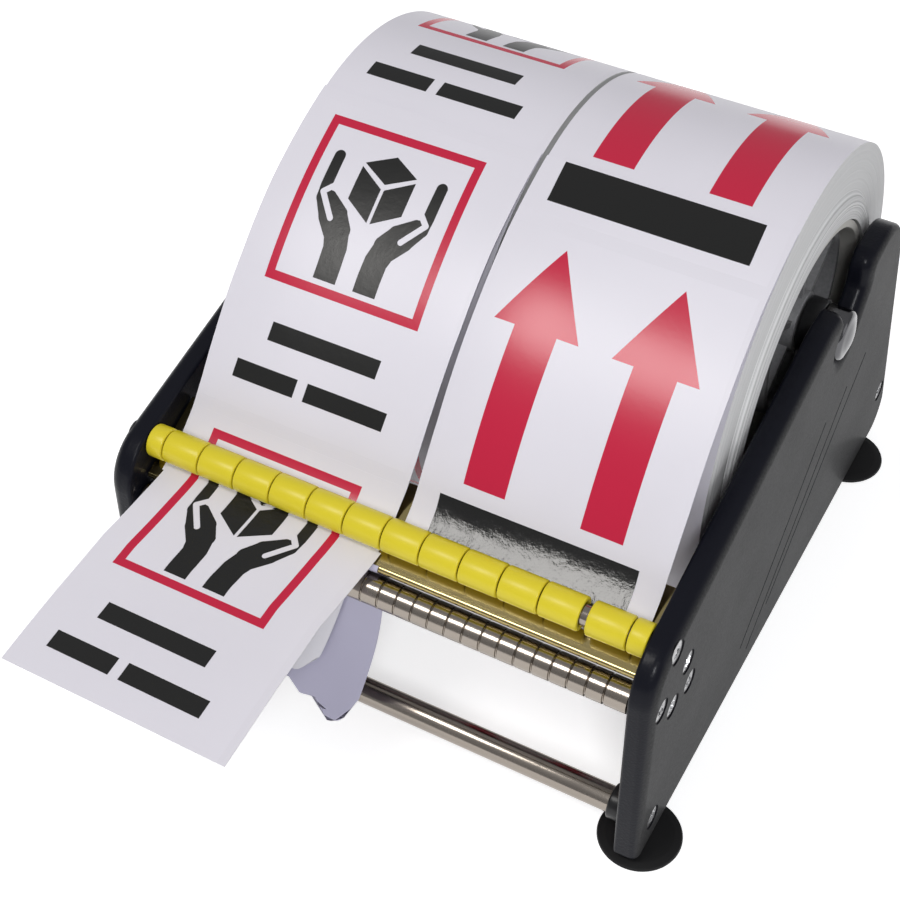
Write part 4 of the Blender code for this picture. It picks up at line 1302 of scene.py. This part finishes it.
@dataclass
class Rods:
    """The tie rods and their collars, the pressure rod, the sleeves and the liner roller."""

    collar_bore: float = 3.5 * MM
    sleeve_bore: float = 2.8 * MM
    segments: int = 56
    roller_radius: float = 3.6 * MM
    roller_bore: float = 2.6 * MM
    roller_edge: float = 0.3 * MM
    groove_pitch: float = 4.22 * MM
    first_groove: float = 4.5 * MM
    groove_half: float = 0.28 * MM
    groove_depth: float = 0.4 * MM
    groove_form: tuple[Point, ...] = ((-1.0, 0.0), (-0.55, 0.75), (0.0, 1.0), (0.55, 0.75), (1.0, 0.0))

    def rod(self, node: str, finish: Finish, slot: str) -> None:
        """Build a plain rod in place of a CAD node of its size.

        Args:
            node: The CAD node.
            finish: Its finish.
            slot: The record's material slot of that finish.
        """
        low, high, centre, radius = measured(node)
        corners = tube(0, radius, low.x, high.x)
        made = turned(f"{node}_turned", corners, centre, 0.25 * MM, self.segments)
        seat(paint(made, finish), "frame", slot, node)

    def ring(self, node: str, bore: float, radius: float, name: str) -> Piece:
        """Return a short tube in place of a CAD node, with ends rounded to a radius."""
        low, high, centre, outer = measured(node)
        return turned(name, tube(bore, outer, low.x, high.x), centre, radius, self.segments)

    def build(self) -> None:
        """Build and dress every rod and what turns on it."""
        for node in ("front_tie_rod", "rear_tie_rod", "pressure_rod"):
            self.rod(node, STEEL, "polished_steel")
        self.rod("liner_roller_shaft", SCREW_STEEL, "screw_steel")
        for side in Side:
            node = f"front_tie_collar_{side.word}"
            made = self.ring(node, self.collar_bore, 0.4 * MM, f"black_collar_{side.word}")
            seat(paint(made, BLACK), "frame", "black_plastic", node)
        for node in sorted(name for name in frame["nodes"] if name.startswith("sleeve_")):
            made = self.ring(node, self.sleeve_bore, 0.42 * MM, "yellow_" + node)
            seat(paint(made, YELLOW), node, "yellow_plastic", node)
        self.liner_roller()

    def liner_roller(self) -> None:
        """Build the roller with a rounded groove at each step of the pitch."""
        low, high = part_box("liner_roller")
        count = math.floor((high.x - low.x - self.first_groove) / self.groove_pitch) + 1
        middles = low.x + self.first_groove + self.groove_pitch * np.arange(count)
        middles = middles[middles < high.x - self.groove_pitch / 3]
        dips = np.array(self.groove_form)
        along = middles[:, None] + dips[:, 0] * self.groove_half
        radius = self.roller_radius - np.tile(dips[:, 1], (len(middles), 1)) * self.groove_depth
        edge = self.roller_edge
        ends = [
            [(self.roller_bore, x), (self.roller_radius - edge, x), (self.roller_radius, x + inwards)]
            for x, inwards in ((low.x, edge), (high.x, -edge))
        ]
        profile = np.vstack([ends[0], np.stack([radius.ravel(), along.ravel()], -1), ends[1][::-1]])
        centre = (0, *joint_point("liner_roller_spin"))
        points = turned_points(profile, centre, self.segments, Axis.ACROSS)
        made = Shell("grooved_roller").add_grid(points, round_rows=True, round_columns=True).piece()
        seat(paint(made, STEEL), "liner_roller", "polished_steel", "liner_roller")


@dataclass
class PeelUnit:
    """The polished peel plate with its hemmed edge, and the bar behind it; sizes in millimetres."""

    slope: float = math.radians(22)
    edge_depth: float = 5.5
    sheet: float = 1.0
    hem: float = 2.4
    flange: float = 13.0
    flange_depth: float = 25.3
    bar_front: float = 9.2
    bar_rear: float = 24.0
    bar_bottom: float = 41.0
    bar_slant: float = 2.0
    lip_height: float = 48.6
    lip: float = 0.8
    gap: float = 0.3
    nip_gap: float = 0.2
    web: float = 0.25
    pressure_depth: float = 10.3
    pressure_height: float = 65.5
    sleeve: float = 3.95

    def nose(self) -> Point:
        """Return the middle of the rounded front edge, one sheet and one web under the sleeves.

        Returns:
            Depth and height in millimetres.
        """
        depth = self.edge_depth + self.sheet
        below = self.sleeve + 2 * self.nip_gap + self.web + self.sheet
        nip_depth = self.pressure_depth + below * math.sin(self.slope)
        nip_height = self.pressure_height - below * math.cos(self.slope)
        return (depth, nip_height - (nip_depth - depth) * math.tan(self.slope))

    def on_slope(self, depth: float, above: float) -> Point:
        """Return the point at a depth on a line parallel to the plate's top, above its underside.

        Args:
            depth: Depth in millimetres.
            above: Distance square to the plate's underside.

        Returns:
            Depth and height in millimetres.
        """
        middle = self.nose()
        rise = (depth - middle[0]) * math.tan(self.slope)
        return (depth, middle[1] + rise + above / math.cos(self.slope))

    def placed(self, points: Sequence[Point]) -> np.ndarray:
        """Return (depth, height) points in millimetres as (Y, Z) in metres."""
        return np.array(points) * MM + np.array([FRONT_Y, 0])

    def build(self) -> None:
        """Build the plate and the bar."""
        nose = self.nose()
        inner = self.flange_depth - self.sheet
        top = self.on_slope(self.flange_depth, self.sheet)
        hem_end = nose[0] + self.hem
        angle = self.slope - np.pi / 2 - np.linspace(0, np.pi, 19)[:, None]
        edge = np.array(nose) + self.sheet * np.hstack([np.cos(angle), np.sin(angle)])
        outline = [
            top,
            (self.flange_depth, top[1] - self.flange),
            (inner, top[1] - self.flange),
            self.on_slope(inner, 0),
            self.on_slope(hem_end, 0),
            self.on_slope(hem_end, -self.sheet),
            *edge,
        ]
        low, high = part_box("peel_plate")
        plate = prism("peel_sheet", self.placed(outline), low.x, high.x, 0.15 * MM)
        seat(paint(plate, PEEL_STEEL_PAINTED_REFLECTION), "frame", "polished_steel", "peel_plate")
        lip = self.bar_front - self.lip
        outline = [
            self.on_slope(self.bar_rear, -self.gap),
            (self.bar_rear, self.bar_bottom),
            (lip + self.bar_slant, self.bar_bottom),
            (lip, self.bar_bottom + self.bar_slant),
            (lip, self.lip_height - self.lip),
            (self.bar_front, self.lip_height),
            self.on_slope(self.bar_front, -self.gap),
        ]
        bar = prism("bar_behind_peel", self.placed(outline), low.x, high.x, 0.3 * MM)
        seat(paint(bar, ALUMINIUM), "frame", "bar_aluminium", "peel_bar")


@dataclass
class Spindle:
    """The spindle rod, its chrome ends, the black collars and the four ribbed hubs."""

    end_radius: float = 6.35 * MM
    end_socket: float = 5.0 * MM
    end_rounding: float = 1.6 * MM
    bulge: float = 0.9 * MM
    rod_radius: float = 3.2 * MM
    hub_radius: float = 23.7 * MM
    hub_rim: float = 2.0 * MM
    boss: float = 7.5 * MM
    web: float = 2.0 * MM
    ribs: int = 6
    rib: float = 1.6 * MM
    rib_inset: float = 1.0 * MM

    def build(self) -> None:
        """Build everything that lifts out with the rolls, apart from the rolls."""
        centre = (0, *joint_point("hub_1_spin"))
        low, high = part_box("spindle_rod")
        rod = turned("spindle_bar", tube(0, self.rod_radius, low.x, high.x), centre)
        seat(paint(rod, BLACK), "spindle", "black_plastic", "spindle_rod")
        for side in Side:
            self.end(side, centre)
            node = f"spindle_collar_{side.word}"
            low, high, _, radius = measured(node)
            corners = tube(self.rod_radius + SEAT_GAP, radius, low.x, high.x)
            collar = turned(f"black_spacer_{side.word}", corners, centre, 0.6 * MM, 64)
            seat(paint(collar, BLACK), "spindle", "black_plastic", node)
        for index in range(1, 5):
            self.hub(f"hub_{index}", centre)

    def end(self, side: Side, centre: Sequence[float]) -> None:
        """Build a chrome end: a domed disc with a socket for the rod.

        Args:
            side: The end's side.
            centre: Where the spindle's axis passes.
        """
        node = f"spindle_end_{side.word}"
        low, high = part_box(node)
        inner, outer = (low.x, high.x) if side is Side.RIGHT else (high.x, low.x)
        edge = np.linspace(0, np.pi / 2, 7)
        bulge = side.value * self.bulge
        cap_radius = self.end_radius - self.end_rounding * (1 - np.cos(edge))
        cap_along = outer - bulge - side.value * self.end_rounding * (1 - np.sin(edge))
        bore = self.rod_radius + SEAT_GAP
        socket = inner + side.value * self.end_socket
        start = [(0, socket), (bore, socket), (bore, inner), (self.end_radius, inner)]
        crown = np.linspace(0.75, 0, 6)[:, None]
        dome = np.hstack([crown * (self.end_radius - self.end_rounding), outer - bulge * crown**2])
        profile = np.vstack([start, np.stack([cap_radius, cap_along], -1), dome])
        points = turned_points(profile, centre, 72, Axis.ACROSS)
        made = Shell(f"chrome_end_{side.word}").add_grid(points, round_columns=True).piece()
        seat(paint(made, CHROME), "spindle", "chrome", node)

    def hub(self, node: str, centre: Sequence[float]) -> None:
        """Build a hub: a turned rim, web and boss, with straight ribs between rim and boss.

        Args:
            node: The hub's CAD node.
            centre: Where the spindle's axis passes.
        """
        low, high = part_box(node)
        middle = (low.x + high.x) / 2
        half = (high.x - low.x) / 2
        bore = self.rod_radius + SEAT_GAP
        inside = self.hub_radius - self.hub_rim
        web = self.web / 2
        left = [(bore, -half), (self.boss, -half), (self.boss, -web), (inside, -web), (inside, -half)]
        left.append((self.hub_radius, -half))
        right = [(radius, -along) for radius, along in left[::-1]]
        profile = filleted(np.array(left + right), 0.35 * MM, 3)[0] + np.array([0, middle])
        points = turned_points(profile, centre, 80, Axis.ACROSS)
        shell = Shell(f"ribbed_{node}").add_grid(points, round_rows=True, round_columns=True)
        angle = np.arange(self.ribs) * 2 * np.pi / self.ribs + np.pi / 2
        zero = np.zeros(self.ribs)
        out = np.stack([zero, np.cos(angle), np.sin(angle)], -1)
        beside = np.stack([zero, -np.sin(angle), np.cos(angle)], -1)
        along = np.tile([1.0, 0.0, 0.0], (self.ribs, 1))
        middles = out * (inside + self.boss) / 2 + np.array([middle, centre[1], centre[2]])
        length = inside - self.boss + self.hub_rim
        sides = np.stack([along * 2 * (half - self.rib_inset), out * length, beside * self.rib], 1)
        seat(paint(shell.add_boxes(middles, sides).piece(), HUB), node, "hub_plastic", node)


@dataclass
class Web:
    """One roll's labels on their liner: where they lie and how the print sits on them.

    Distances run from the line where the web leaves its roll, forwards with a minus, in millimetres.
    """

    side: Side
    left: float
    right: float
    drift: tuple[Point, ...]
    print_middle: tuple[Point, ...]
    print_knots: tuple[Point, ...]

    def shift(self, run: np.ndarray) -> np.ndarray:
        """Return how far the web has wandered to the right at each distance, in millimetres."""
        table = np.array(self.drift)
        return np.interp(-run, -table[:, 0], table[:, 1])

    def places(self, across: np.ndarray, run: np.ndarray) -> np.ndarray:
        """Return print coordinates, a tenth of a metre to the unit.

        Args:
            across: X in millimetres.
            run: Distance along in millimetres, of the same shape.

        Returns:
            An array with one more axis, of length 2.
        """
        middle = np.array(self.print_middle)
        knots = np.array(self.print_knots)
        centre = np.interp(-run, -middle[:, 0], middle[:, 1])
        along = np.interp(-run, -knots[:, 0], knots[:, 1])
        along += np.maximum(run - knots[0, 0], 0) + np.minimum(run - knots[-1, 0], 0)
        return np.stack([(across - centre) / 100, along / 100], -1)


@dataclass
class Labels:
    """The wound rolls, the webs, the peeled label and the spent liner."""

    peel: PeelUnit
    webs: tuple[Web, Web]
    radius: float = 58.6 * MM
    core_radius: float = 40.0 * MM
    bore_radius: float = 38.1 * MM
    leave_angle: float = math.radians(107)
    segments: int = 240
    ring_step: float = 0.45 * MM
    ring_inset: float = 0.12 * MM
    waves: tuple[tuple[float, float, float], ...] = ((0.05, 2.1, 1.0), (0.06, 5.3, 0.0), (0.05, 11.7, 2.0))
    web_thickness: float = 0.25 * MM
    label_thickness: float = 0.16 * MM
    liner_thickness: float = 0.12 * MM
    telescope: float = 1.3 * MM
    telescope_band: Point = (4.752 * MM, 6.6 * MM)
    knee: Point = (10.7, 8.9)
    knee_slope: float = math.radians(60)
    web_across: int = 25
    web_bow: float = 0.35 * MM
    web_droop: float = 0.5 * MM
    label_end: Point = (-50.4, 52.2)
    label_start: float = -99.1
    label_edges: Point = (-58.4, -1.5)
    label_middle: float = -32.0
    label_raise: float = 1.4 * MM
    label_bow: float = 0.25 * MM
    label_turn: tuple[Point, ...] = ((0, 0), (8, -1.2), (22, -2.9), (40, -3.1), (60, -2.9))
    channel: Point = (8.18, 52.9)
    liner_end: Point = (-7.5, 18.0)
    liner_across: int = 61
    liner_edges: Point = (-58.7, -1.6)
    liner_swing: float = math.radians(14)
    liner_wave: float = 0.9 * MM
    liner_lift: float = 1.2 * MM
    liner_widening: float = 0.9
    liner_spare: float = 3.0 * MM
    torn_edge: tuple[Point, ...] = (
        (-58, -2.5), (-45, -1.0), (-30, -3.0), (-19.9, -4.0), (-15.7, -1.3),
        (-12.2, -2.0), (-7.1, 2.1), (-3.8, 0.6), (-1.6, -5.7),
    )
    flap_right: tuple[Point, ...] = ((0, -9.0), (0.25, -10.1), (0.6, -12.0), (0.85, -13.2), (1.0, -14.4))
    flap_left: float = -34.0
    flap_start: Point = (7.6, 50.5)
    flap_end: Point = (-6.2, 26.2)
    flap_curl: float = 1.6 * MM
    flap_across: int = 31

    def web_route(self, side: Side) -> np.ndarray:
        """Return a web's middle line in (Y, Z) metres: the left one ends behind the peel edge.

        Args:
            side: The web's side.

        Returns:
            Points at even steps from the roll forwards, shape (n, 2).
        """
        radius = (self.radius + SEAT_GAP + self.web_thickness / 2) / MM
        leave = (
            (ROLL_AXIS[0] - FRONT_Y) / MM + radius * math.cos(self.leave_angle),
            ROLL_AXIS[1] / MM + radius * math.sin(self.leave_angle),
        )
        peel = self.peel
        above = peel.sheet + peel.nip_gap + peel.web / 2
        nip = peel.on_slope(peel.pressure_depth + peel.sleeve * math.sin(peel.slope), above)
        knee = (nip[0] + self.knee[0], nip[1] + self.knee[1])
        upper = bezier(leave, self.leave_angle - math.pi / 2, knee, self.knee_slope, (0.36, 0.36), 80)
        lower = bezier(knee, self.knee_slope, nip, peel.slope, (0.35, 0.35), 24)
        ends = {Side.LEFT: peel.edge_depth + 1.9, Side.RIGHT: nip[0] - 1.6}
        route = np.vstack([upper, lower[1:], [peel.on_slope(ends[side], above)]])
        return resampled(peel.placed(route), 1.2 * MM)

    def strip(
        self,
        name: str,
        route: np.ndarray,
        edges: Sequence[np.ndarray | float],
        thickness: float,
        lift: np.ndarray,
        places: Callable[[np.ndarray, np.ndarray], np.ndarray] | None = None,
        start: float = 0.0,
        reaches: np.ndarray | float = 1.0,
    ) -> Piece:
        """Return a thin closed sheet whose middle follows a route.

        A point of the sheet is the route's point, moved along the route's normal by the lift and
        by half the thickness, up on the printed side and down on the other.

        Args:
            name: The piece's name.
            route: (Y, Z) points in metres, printed side to the left of the way along.
            edges: X of the left and the right edge in millimetres, at each point or for all.
            thickness: The sheet's thickness.
            lift: Extra height over the route, shape (points, across).
            places: Print coordinates from X and the distance along, both in millimetres.
            start: Distance along at the route's start, in millimetres.
            reaches: The share of the route that each point across reaches, for a torn end.

        Returns:
            The new object, its printed side in material slot 0 and the rest in slot 1.
        """
        across = lift.shape[1]
        way = unit(np.gradient(route, axis=0))
        left, right = (np.broadcast_to(np.asarray(edge) * MM, len(route)) for edge in edges)
        table = np.column_stack([route, way[:, 1], -way[:, 0], left, right])
        run = run_of(route)
        at = run[:, None] * np.broadcast_to(reaches, across)
        y, z, normal_y, normal_z, low, high = (np.interp(at, run, column) for column in table.T)
        x = low + (high - low) * np.linspace(0, 1, across)
        sides = []
        for half in (thickness / 2, -thickness / 2):
            away = lift + half
            sides.append(np.dstack([x, y + normal_y * away, z + normal_z * away]))
        ring = np.concatenate([sides[0], sides[1][:, ::-1]], axis=1)
        run = start - at / MM
        flat = places(x / MM, run) if places else np.stack([x / MM / 100, run / 100], -1)
        both = np.concatenate([flat, flat[:, ::-1], flat[:, :1]], axis=1)
        faces_across = np.ones(2 * across, int)
        faces_across[: across - 1] = 0
        slot = np.tile(faces_across, len(route) - 1)
        shell = Shell(name).add_grid(ring, round_columns=True, caps=True, places=both, slot=slot)
        shell.slots[-2:] = [1, 1]
        return shell.piece(math.radians(50))

    def roll(self, web: Web) -> None:
        """Build a wound roll: an outer face with its print, and side faces made of thin steps.

        The layer at a radius stands out by a sum of three sines of the radius, and on the right
        side of the right roll the inner band is pushed out further.

        Args:
            web: The web that the roll feeds.
        """
        side = web.side
        node = f"roll_{side.word}"
        low = web.left * MM
        high = web.right * MM
        inner = self.core_radius + SEAT_GAP
        count = round((self.radius - inner) / self.ring_step)
        rings = np.linspace(inner, self.radius - 0.05 * MM, count + 1)
        depth = (rings - inner) / MM
        wave = sum(size * np.sin(depth * rate + start) for size, rate, start in self.waves)
        radius = np.repeat(rings, 2)[1:-1]
        radius = np.concatenate([rings[:1], radius, rings[-1:]])
        step = np.repeat(wave, 2)[1:-1] * MM
        step = np.concatenate([step[:1], step, step[-1:]])
        pushed = (1 - eased(radius - inner, *self.telescope_band)) * self.telescope
        pushed *= side is Side.RIGHT
        right_face = np.stack([radius, high - self.ring_inset + step + pushed], -1)
        left_face = np.stack([radius, low + self.ring_inset - step], -1)
        outer = np.stack([np.full(9, self.radius), np.linspace(low, high, 9)], -1)
        profile = np.vstack([left_face, outer, right_face[::-1]])
        angle = np.linspace(0, 2 * np.pi, self.segments, endpoint=False) + self.leave_angle
        y = ROLL_AXIS[0] + profile[:, :1] * np.cos(angle)
        z = ROLL_AXIS[1] + profile[:, :1] * np.sin(angle)
        place = np.dstack([np.broadcast_to(profile[:, 1:], y.shape), y, z])
        turns = np.linspace(2 * np.pi, 0, self.segments + 1) * self.radius / MM
        run = np.broadcast_to(turns, (len(profile), self.segments + 1))
        print_places = web.places(np.broadcast_to(profile[:, 1:] / MM, run.shape), run)
        closed = np.concatenate([print_places, print_places[:1]], axis=0)
        printed = np.ones(len(profile), int)
        printed[len(left_face) : len(left_face) + len(outer) - 1] = 0
        slot = np.repeat(printed, self.segments)
        shell = Shell(f"wound_{node}")
        shell.add_grid(place, round_rows=True, round_columns=True, places=closed, slot=slot)
        seat(paint(shell.piece(math.radians(28)), PRINTS[side], WOUND), node, "label_paper", node)
        left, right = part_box(f"core_{side.word}")
        end = right.x + (0.9 * self.telescope if side is Side.RIGHT else 0)
        corners = tube(self.bore_radius, self.core_radius, left.x, end)
        core = turned(f"board_core_{side.word}", corners, (0, *ROLL_AXIS), 0.2 * MM, 120)
        seat(paint(core, BOARD), node, "core_board", f"core_{side.word}")

    def web(self, web: Web) -> None:
        """Build a web, with a faint wave across it where it hangs free.

        Args:
            web: The web.
        """
        route = self.web_route(web.side)
        run = -run_of(route) / MM
        shift = web.shift(run)
        share = np.linspace(0, 1, self.web_across)
        free = eased(-run, 4, 30) * (1 - eased(-run, 70, 88))
        bow = self.web_bow * np.sin(share * np.pi * 2 + 0.6) - self.web_droop * (2 * share - 1) ** 4
        name = f"web_{web.side.word}"
        edges = (web.left + shift, web.right + shift)
        made = self.strip(f"label_{name}", route, edges, self.web_thickness, free[:, None] * bow, web.places)
        paint(made, PRINTS[web.side], LINER)
        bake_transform(made)
        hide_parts(name)

    def peeled_label(self) -> None:
        """Build the label that stands out in front, a little askew, its left corner raised."""
        peel = self.peel
        above = peel.sheet + peel.nip_gap + peel.web + peel.nip_gap / 2 + 0.1
        start = peel.on_slope(peel.edge_depth + 3.0, above)
        route = peel.placed(bezier(start, peel.slope, self.label_end, math.radians(6), (0.12, 0.5), 60))
        run = run_of(route) / MM
        askew = np.interp(run, *np.array(self.label_turn).T)
        share = np.linspace(0, 1, self.web_across)
        raised = eased(run, 12, 58)[:, None] * (1 - share) ** 1.6 * self.label_raise
        bow = eased(run, 4, 40)[:, None] * self.label_bow * np.sin(share * np.pi)
        knots = np.array(self.webs[0].print_knots)

        def places(across: np.ndarray, along: np.ndarray) -> np.ndarray:
            """Return the left web's print coordinates, moved with the label.

            Args:
                across: X in millimetres.
                along: Distance along in millimetres.

            Returns:
                An array with one more axis, of length 2.
            """
            centre = self.label_middle + np.interp(-(along - self.label_start), run, askew)
            down = knots[-1, 1] + (along + 0.6 - knots[-1, 0])
            return np.stack([(across - centre) / 100, down / 100], -1)

        edges = [edge + askew for edge in self.label_edges]
        thickness = self.label_thickness
        made = self.strip("standing_label", route, edges, thickness, raised + bow, places, self.label_start)
        seat(paint(made, PRINTS[Side.LEFT], LABEL_BACK), "frame", "label_paper", "peeled_label")

    def liner(self) -> None:
        """Build the left roll's spent liner, round the peel edge, behind the roller and out in front."""
        peel = self.peel
        radius = peel.sheet + peel.nip_gap + self.liner_thickness / MM / 2
        turn = math.pi - peel.slope - self.liner_swing
        angle = peel.slope + np.pi / 2 + turn * np.linspace(0, 1, 20)[:, None]
        bend = np.array(peel.nose()) + radius * np.hstack([np.cos(angle), np.sin(angle)])
        steep = math.radians(84)
        under = bezier(tuple(bend[-1]), turn + peel.slope, self.channel, steep, (0.4, 0.35), 12)
        hang = bezier(self.channel, steep, self.liner_end, math.radians(42), (0.4, 0.35), 50)
        route = peel.placed(np.vstack([bend, under[1:], hang[1:]]))
        length = run_of(route)[-1]
        way = unit(route[-1] - route[-2])
        route = resampled(np.vstack([route, route[-1] + way * self.liner_spare]), 0.8 * MM)
        run = run_of(route)
        x = np.linspace(*self.liner_edges, self.liner_across)
        torn = np.interp(x, *np.array(self.torn_edge).T)
        share = (x - x[0]) / (x[-1] - x[0])
        wave = np.sin(share * np.pi * 3.2 + 0.8) * self.liner_wave
        wave += eased(share, 0.78, 1.0) * self.liner_lift
        lift = eased(run, 14 * MM, run[-1])[:, None] * wave
        edges = (x[0], x[-1] + self.liner_widening * (1 - eased(run / run[-1], 0.4, 0.9)))
        reaches = (length + torn * MM) / run[-1]
        made = self.strip("spent_liner", route, edges, self.liner_thickness, lift, reaches=reaches)
        seat(paint(made, LINER, LINER), "frame", "liner_paper", "liner_left")

    def flap(self) -> None:
        """Build the torn strip that hangs in front of the liner, beside the peeled label."""
        route = bezier(self.flap_start, math.radians(80), self.flap_end, math.radians(40), (0.4, 0.3), 40)
        route = resampled(self.peel.placed(route), 0.7 * MM)
        run = run_of(route) / run_of(route)[-1]
        share = np.linspace(0, 1, self.flap_across)
        curl = eased(run, 0.2, 1.0)[:, None] * share**3 * self.flap_curl
        reaches = 1 - 0.16 * eased(share, 0.8, 1.0) ** 2
        edges = (self.flap_left, np.interp(run, *np.array(self.flap_right).T))
        made = self.strip("torn_flap", route, edges, self.liner_thickness, -curl, reaches=reaches)
        seat(paint(made, LABEL_BACK, LABEL_BACK), "frame", "liner_paper")

    def build(self) -> None:
        """Build both rolls and webs, the label and the liner."""
        for web in self.webs:
            self.roll(web)
            self.web(web)
        self.peeled_label()
        self.liner()
        self.flap()


LEFT_WEB = Web(
    side=Side.LEFT,
    left=-58.7,
    right=-1.7,
    drift=((0.0, 0.0), (-27.0, 0.0), (-45.0, 0.5), (-64.0, 0.4), (-76.0, 0.1), (-87.0, -0.6)),
    print_middle=(
        (35.0, -31.9), (-7.0, -32.2), (-49.0, -30.5), (-57.0, -30.4), (-68.0, -30.9), (-87.0, -32.3)
    ),
    print_knots=((32.4, 38.65), (-6.8, 0.0), (-49.1, -39.75), (-86.5, -78.4)),
)
RIGHT_WEB = Web(
    side=Side.RIGHT,
    left=-0.4,
    right=59.4,
    drift=((0.0, 0.0), (-20.0, 0.0), (-40.0, 0.5), (-66.0, 0.9), (-90.0, 0.6)),
    print_middle=((4.0, 28.2), (-10.0, 28.8), (-21.0, 28.5), (-40.0, 29.3), (-77.0, 29.7), (-85.0, 30.0)),
    print_knots=((-0.2, 0.0), (-11.1, -10.6), (-40.4, -39.0), (-81.1, -78.4)),
)


# Room, light and camera


@dataclass
class Studio:
    """A pale floor, a white surround, soft lamps and the camera of the photograph.

    A lamp is (name, place, size in metres, watts, colour).
    """

    floor_size: float = 80.0
    floor_colour: float = 0.86
    floor_glow: float = 0.58
    horizon: float = 0.34
    overhead: float = 0.46
    lamps: tuple[tuple[str, Colour, float, float, Colour], ...] = (
        ("key", (-0.4, -0.75, 1.45), 0.45, 7.2, (1.0, 0.98, 0.95)),
        ("front", (0.55, -1.02, 1.1), 0.3, 7.3, (0.97, 0.98, 1.0)),
        ("side", (1.3, 0.1, 0.55), 0.8, 1.6, (1.0, 1.0, 1.0)),
    )
    camera_place: tuple[float, float, float] = (0.14395, -0.27914, 0.37016)
    azimuth: float = math.radians(28.41)
    elevation: float = math.radians(43.53)
    roll: float = math.radians(-0.08)
    focal_pixels: float = 1863.53
    image_pixels: float = 900.0
    principal: Point = (462.47, 385.82)
    sensor: float = 36.0

    def floor(self) -> None:
        """Lay a pale floor that looks white to the camera and keeps the shadow."""
        corner = np.array([-self.floor_size, self.floor_size]) / 2
        x, y = np.meshgrid(corner, corner)
        made = Shell("floor").add_grid(np.dstack([x, y, np.full_like(x, -0.2 * MM)])).piece()
        material = bpy.data.materials.new("pale_floor")
        material.use_nodes = True
        tree = Tree(material.node_tree)
        sockets = material.node_tree.nodes["Principled BSDF"].inputs
        sockets["Base Color"].default_value = (*[self.floor_colour] * 3, 1.0)
        sockets["Roughness"].default_value = 0.9
        sockets["Specular IOR Level"].default_value = 0.1
        sockets["Emission Color"].default_value = (1.0, 1.0, 1.0, 1.0)
        path = tree.node("LightPath").outputs
        seen = tree.math("MAXIMUM", path["Is Camera Ray"], path["Is Glossy Ray"])
        seen = tree.math("MAXIMUM", seen, path["Is Transmission Ray"])
        tree.feed(sockets["Emission Strength"], tree.math("MULTIPLY", seen, self.floor_glow))
        made.data.materials.append(material)

    def surround(self) -> None:
        """Make a dim room: darkest at the horizon, brighter overhead."""
        world = bpy.data.worlds.new("surround")
        bpy.context.scene.world = world
        world.use_nodes = True
        tree = Tree(world.node_tree)
        sockets = world.node_tree.nodes["Background"].inputs
        height = tree.parts(tree.node("TexCoord").outputs["Generated"])[2]
        sockets["Color"].default_value = (0.97, 0.975, 1.0, 1.0)
        tree.feed(sockets["Strength"], tree.ramp(height, 0.0, 0.9, self.horizon, self.overhead, smooth=True))

    def lamp(self, name: str, place: Colour, size: float, power: float, colour: Colour) -> None:
        """Hang a square lamp that faces the middle of the dispenser.

        Args:
            name: The lamp's name.
            place: Where it hangs, in metres.
            size: Its side in metres.
            power: Its watts.
            colour: Its colour.
        """
        data = bpy.data.lights.new(name, "AREA")
        data.size = size
        data.energy = power
        data.color = colour
        made = bpy.data.objects.new(name, data)
        made.location = place
        aim = Vector((0, 0, 0.05)) - made.location
        made.rotation_euler = aim.to_track_quat("-Z", "Y").to_euler()
        bpy.context.scene.collection.objects.link(made)

    def camera(self) -> None:
        """Set up the camera from its place, its two angles and its focal length in pixels."""
        data = bpy.data.cameras.new("camera")
        data.sensor_width = self.sensor
        data.lens = self.focal_pixels * self.sensor / self.image_pixels
        middle = self.image_pixels / 2
        data.shift_x = (middle - self.principal[0]) / self.image_pixels
        data.shift_y = (self.principal[1] - middle) / self.image_pixels
        data.clip_start = 0.01
        data.clip_end = 100
        made = bpy.data.objects.new("camera", data)
        bpy.context.scene.collection.objects.link(made)
        cosine = math.cos(self.elevation)
        ahead = (-math.sin(self.azimuth) * cosine, math.cos(self.azimuth) * cosine, -math.sin(self.elevation))
        forward = Vector(ahead)
        right = Vector((math.cos(self.azimuth), math.sin(self.azimuth), 0))
        up = right.cross(forward)
        turned_right = right * math.cos(self.roll) + up * math.sin(self.roll)
        turned_up = up * math.cos(self.roll) - right * math.sin(self.roll)
        turn = Matrix((turned_right, turned_up, -forward)).transposed()
        made.matrix_world = Matrix.Translation(self.camera_place) @ turn.to_4x4()
        bpy.context.scene.camera = made

    def build(self) -> None:
        """Build the studio."""
        self.floor()
        self.surround()
        for lamp in self.lamps:
            self.lamp(*lamp)
        self.camera()
        bpy.context.scene.view_settings.view_transform = "Standard"


def main() -> None:
    """Build the dressed dispenser."""
    logging.basicConfig(level=logging.INFO, format="%(name)s: %(message)s")
    screws = Screws()
    SidePlates().build(screws)
    peel = PeelUnit()
    for part in (screws, Feet(), Rods(), peel, Spindle(), Labels(peel, (LEFT_WEB, RIGHT_WEB)), Studio()):
        part.build()


if __name__ == "__main__":
    main()
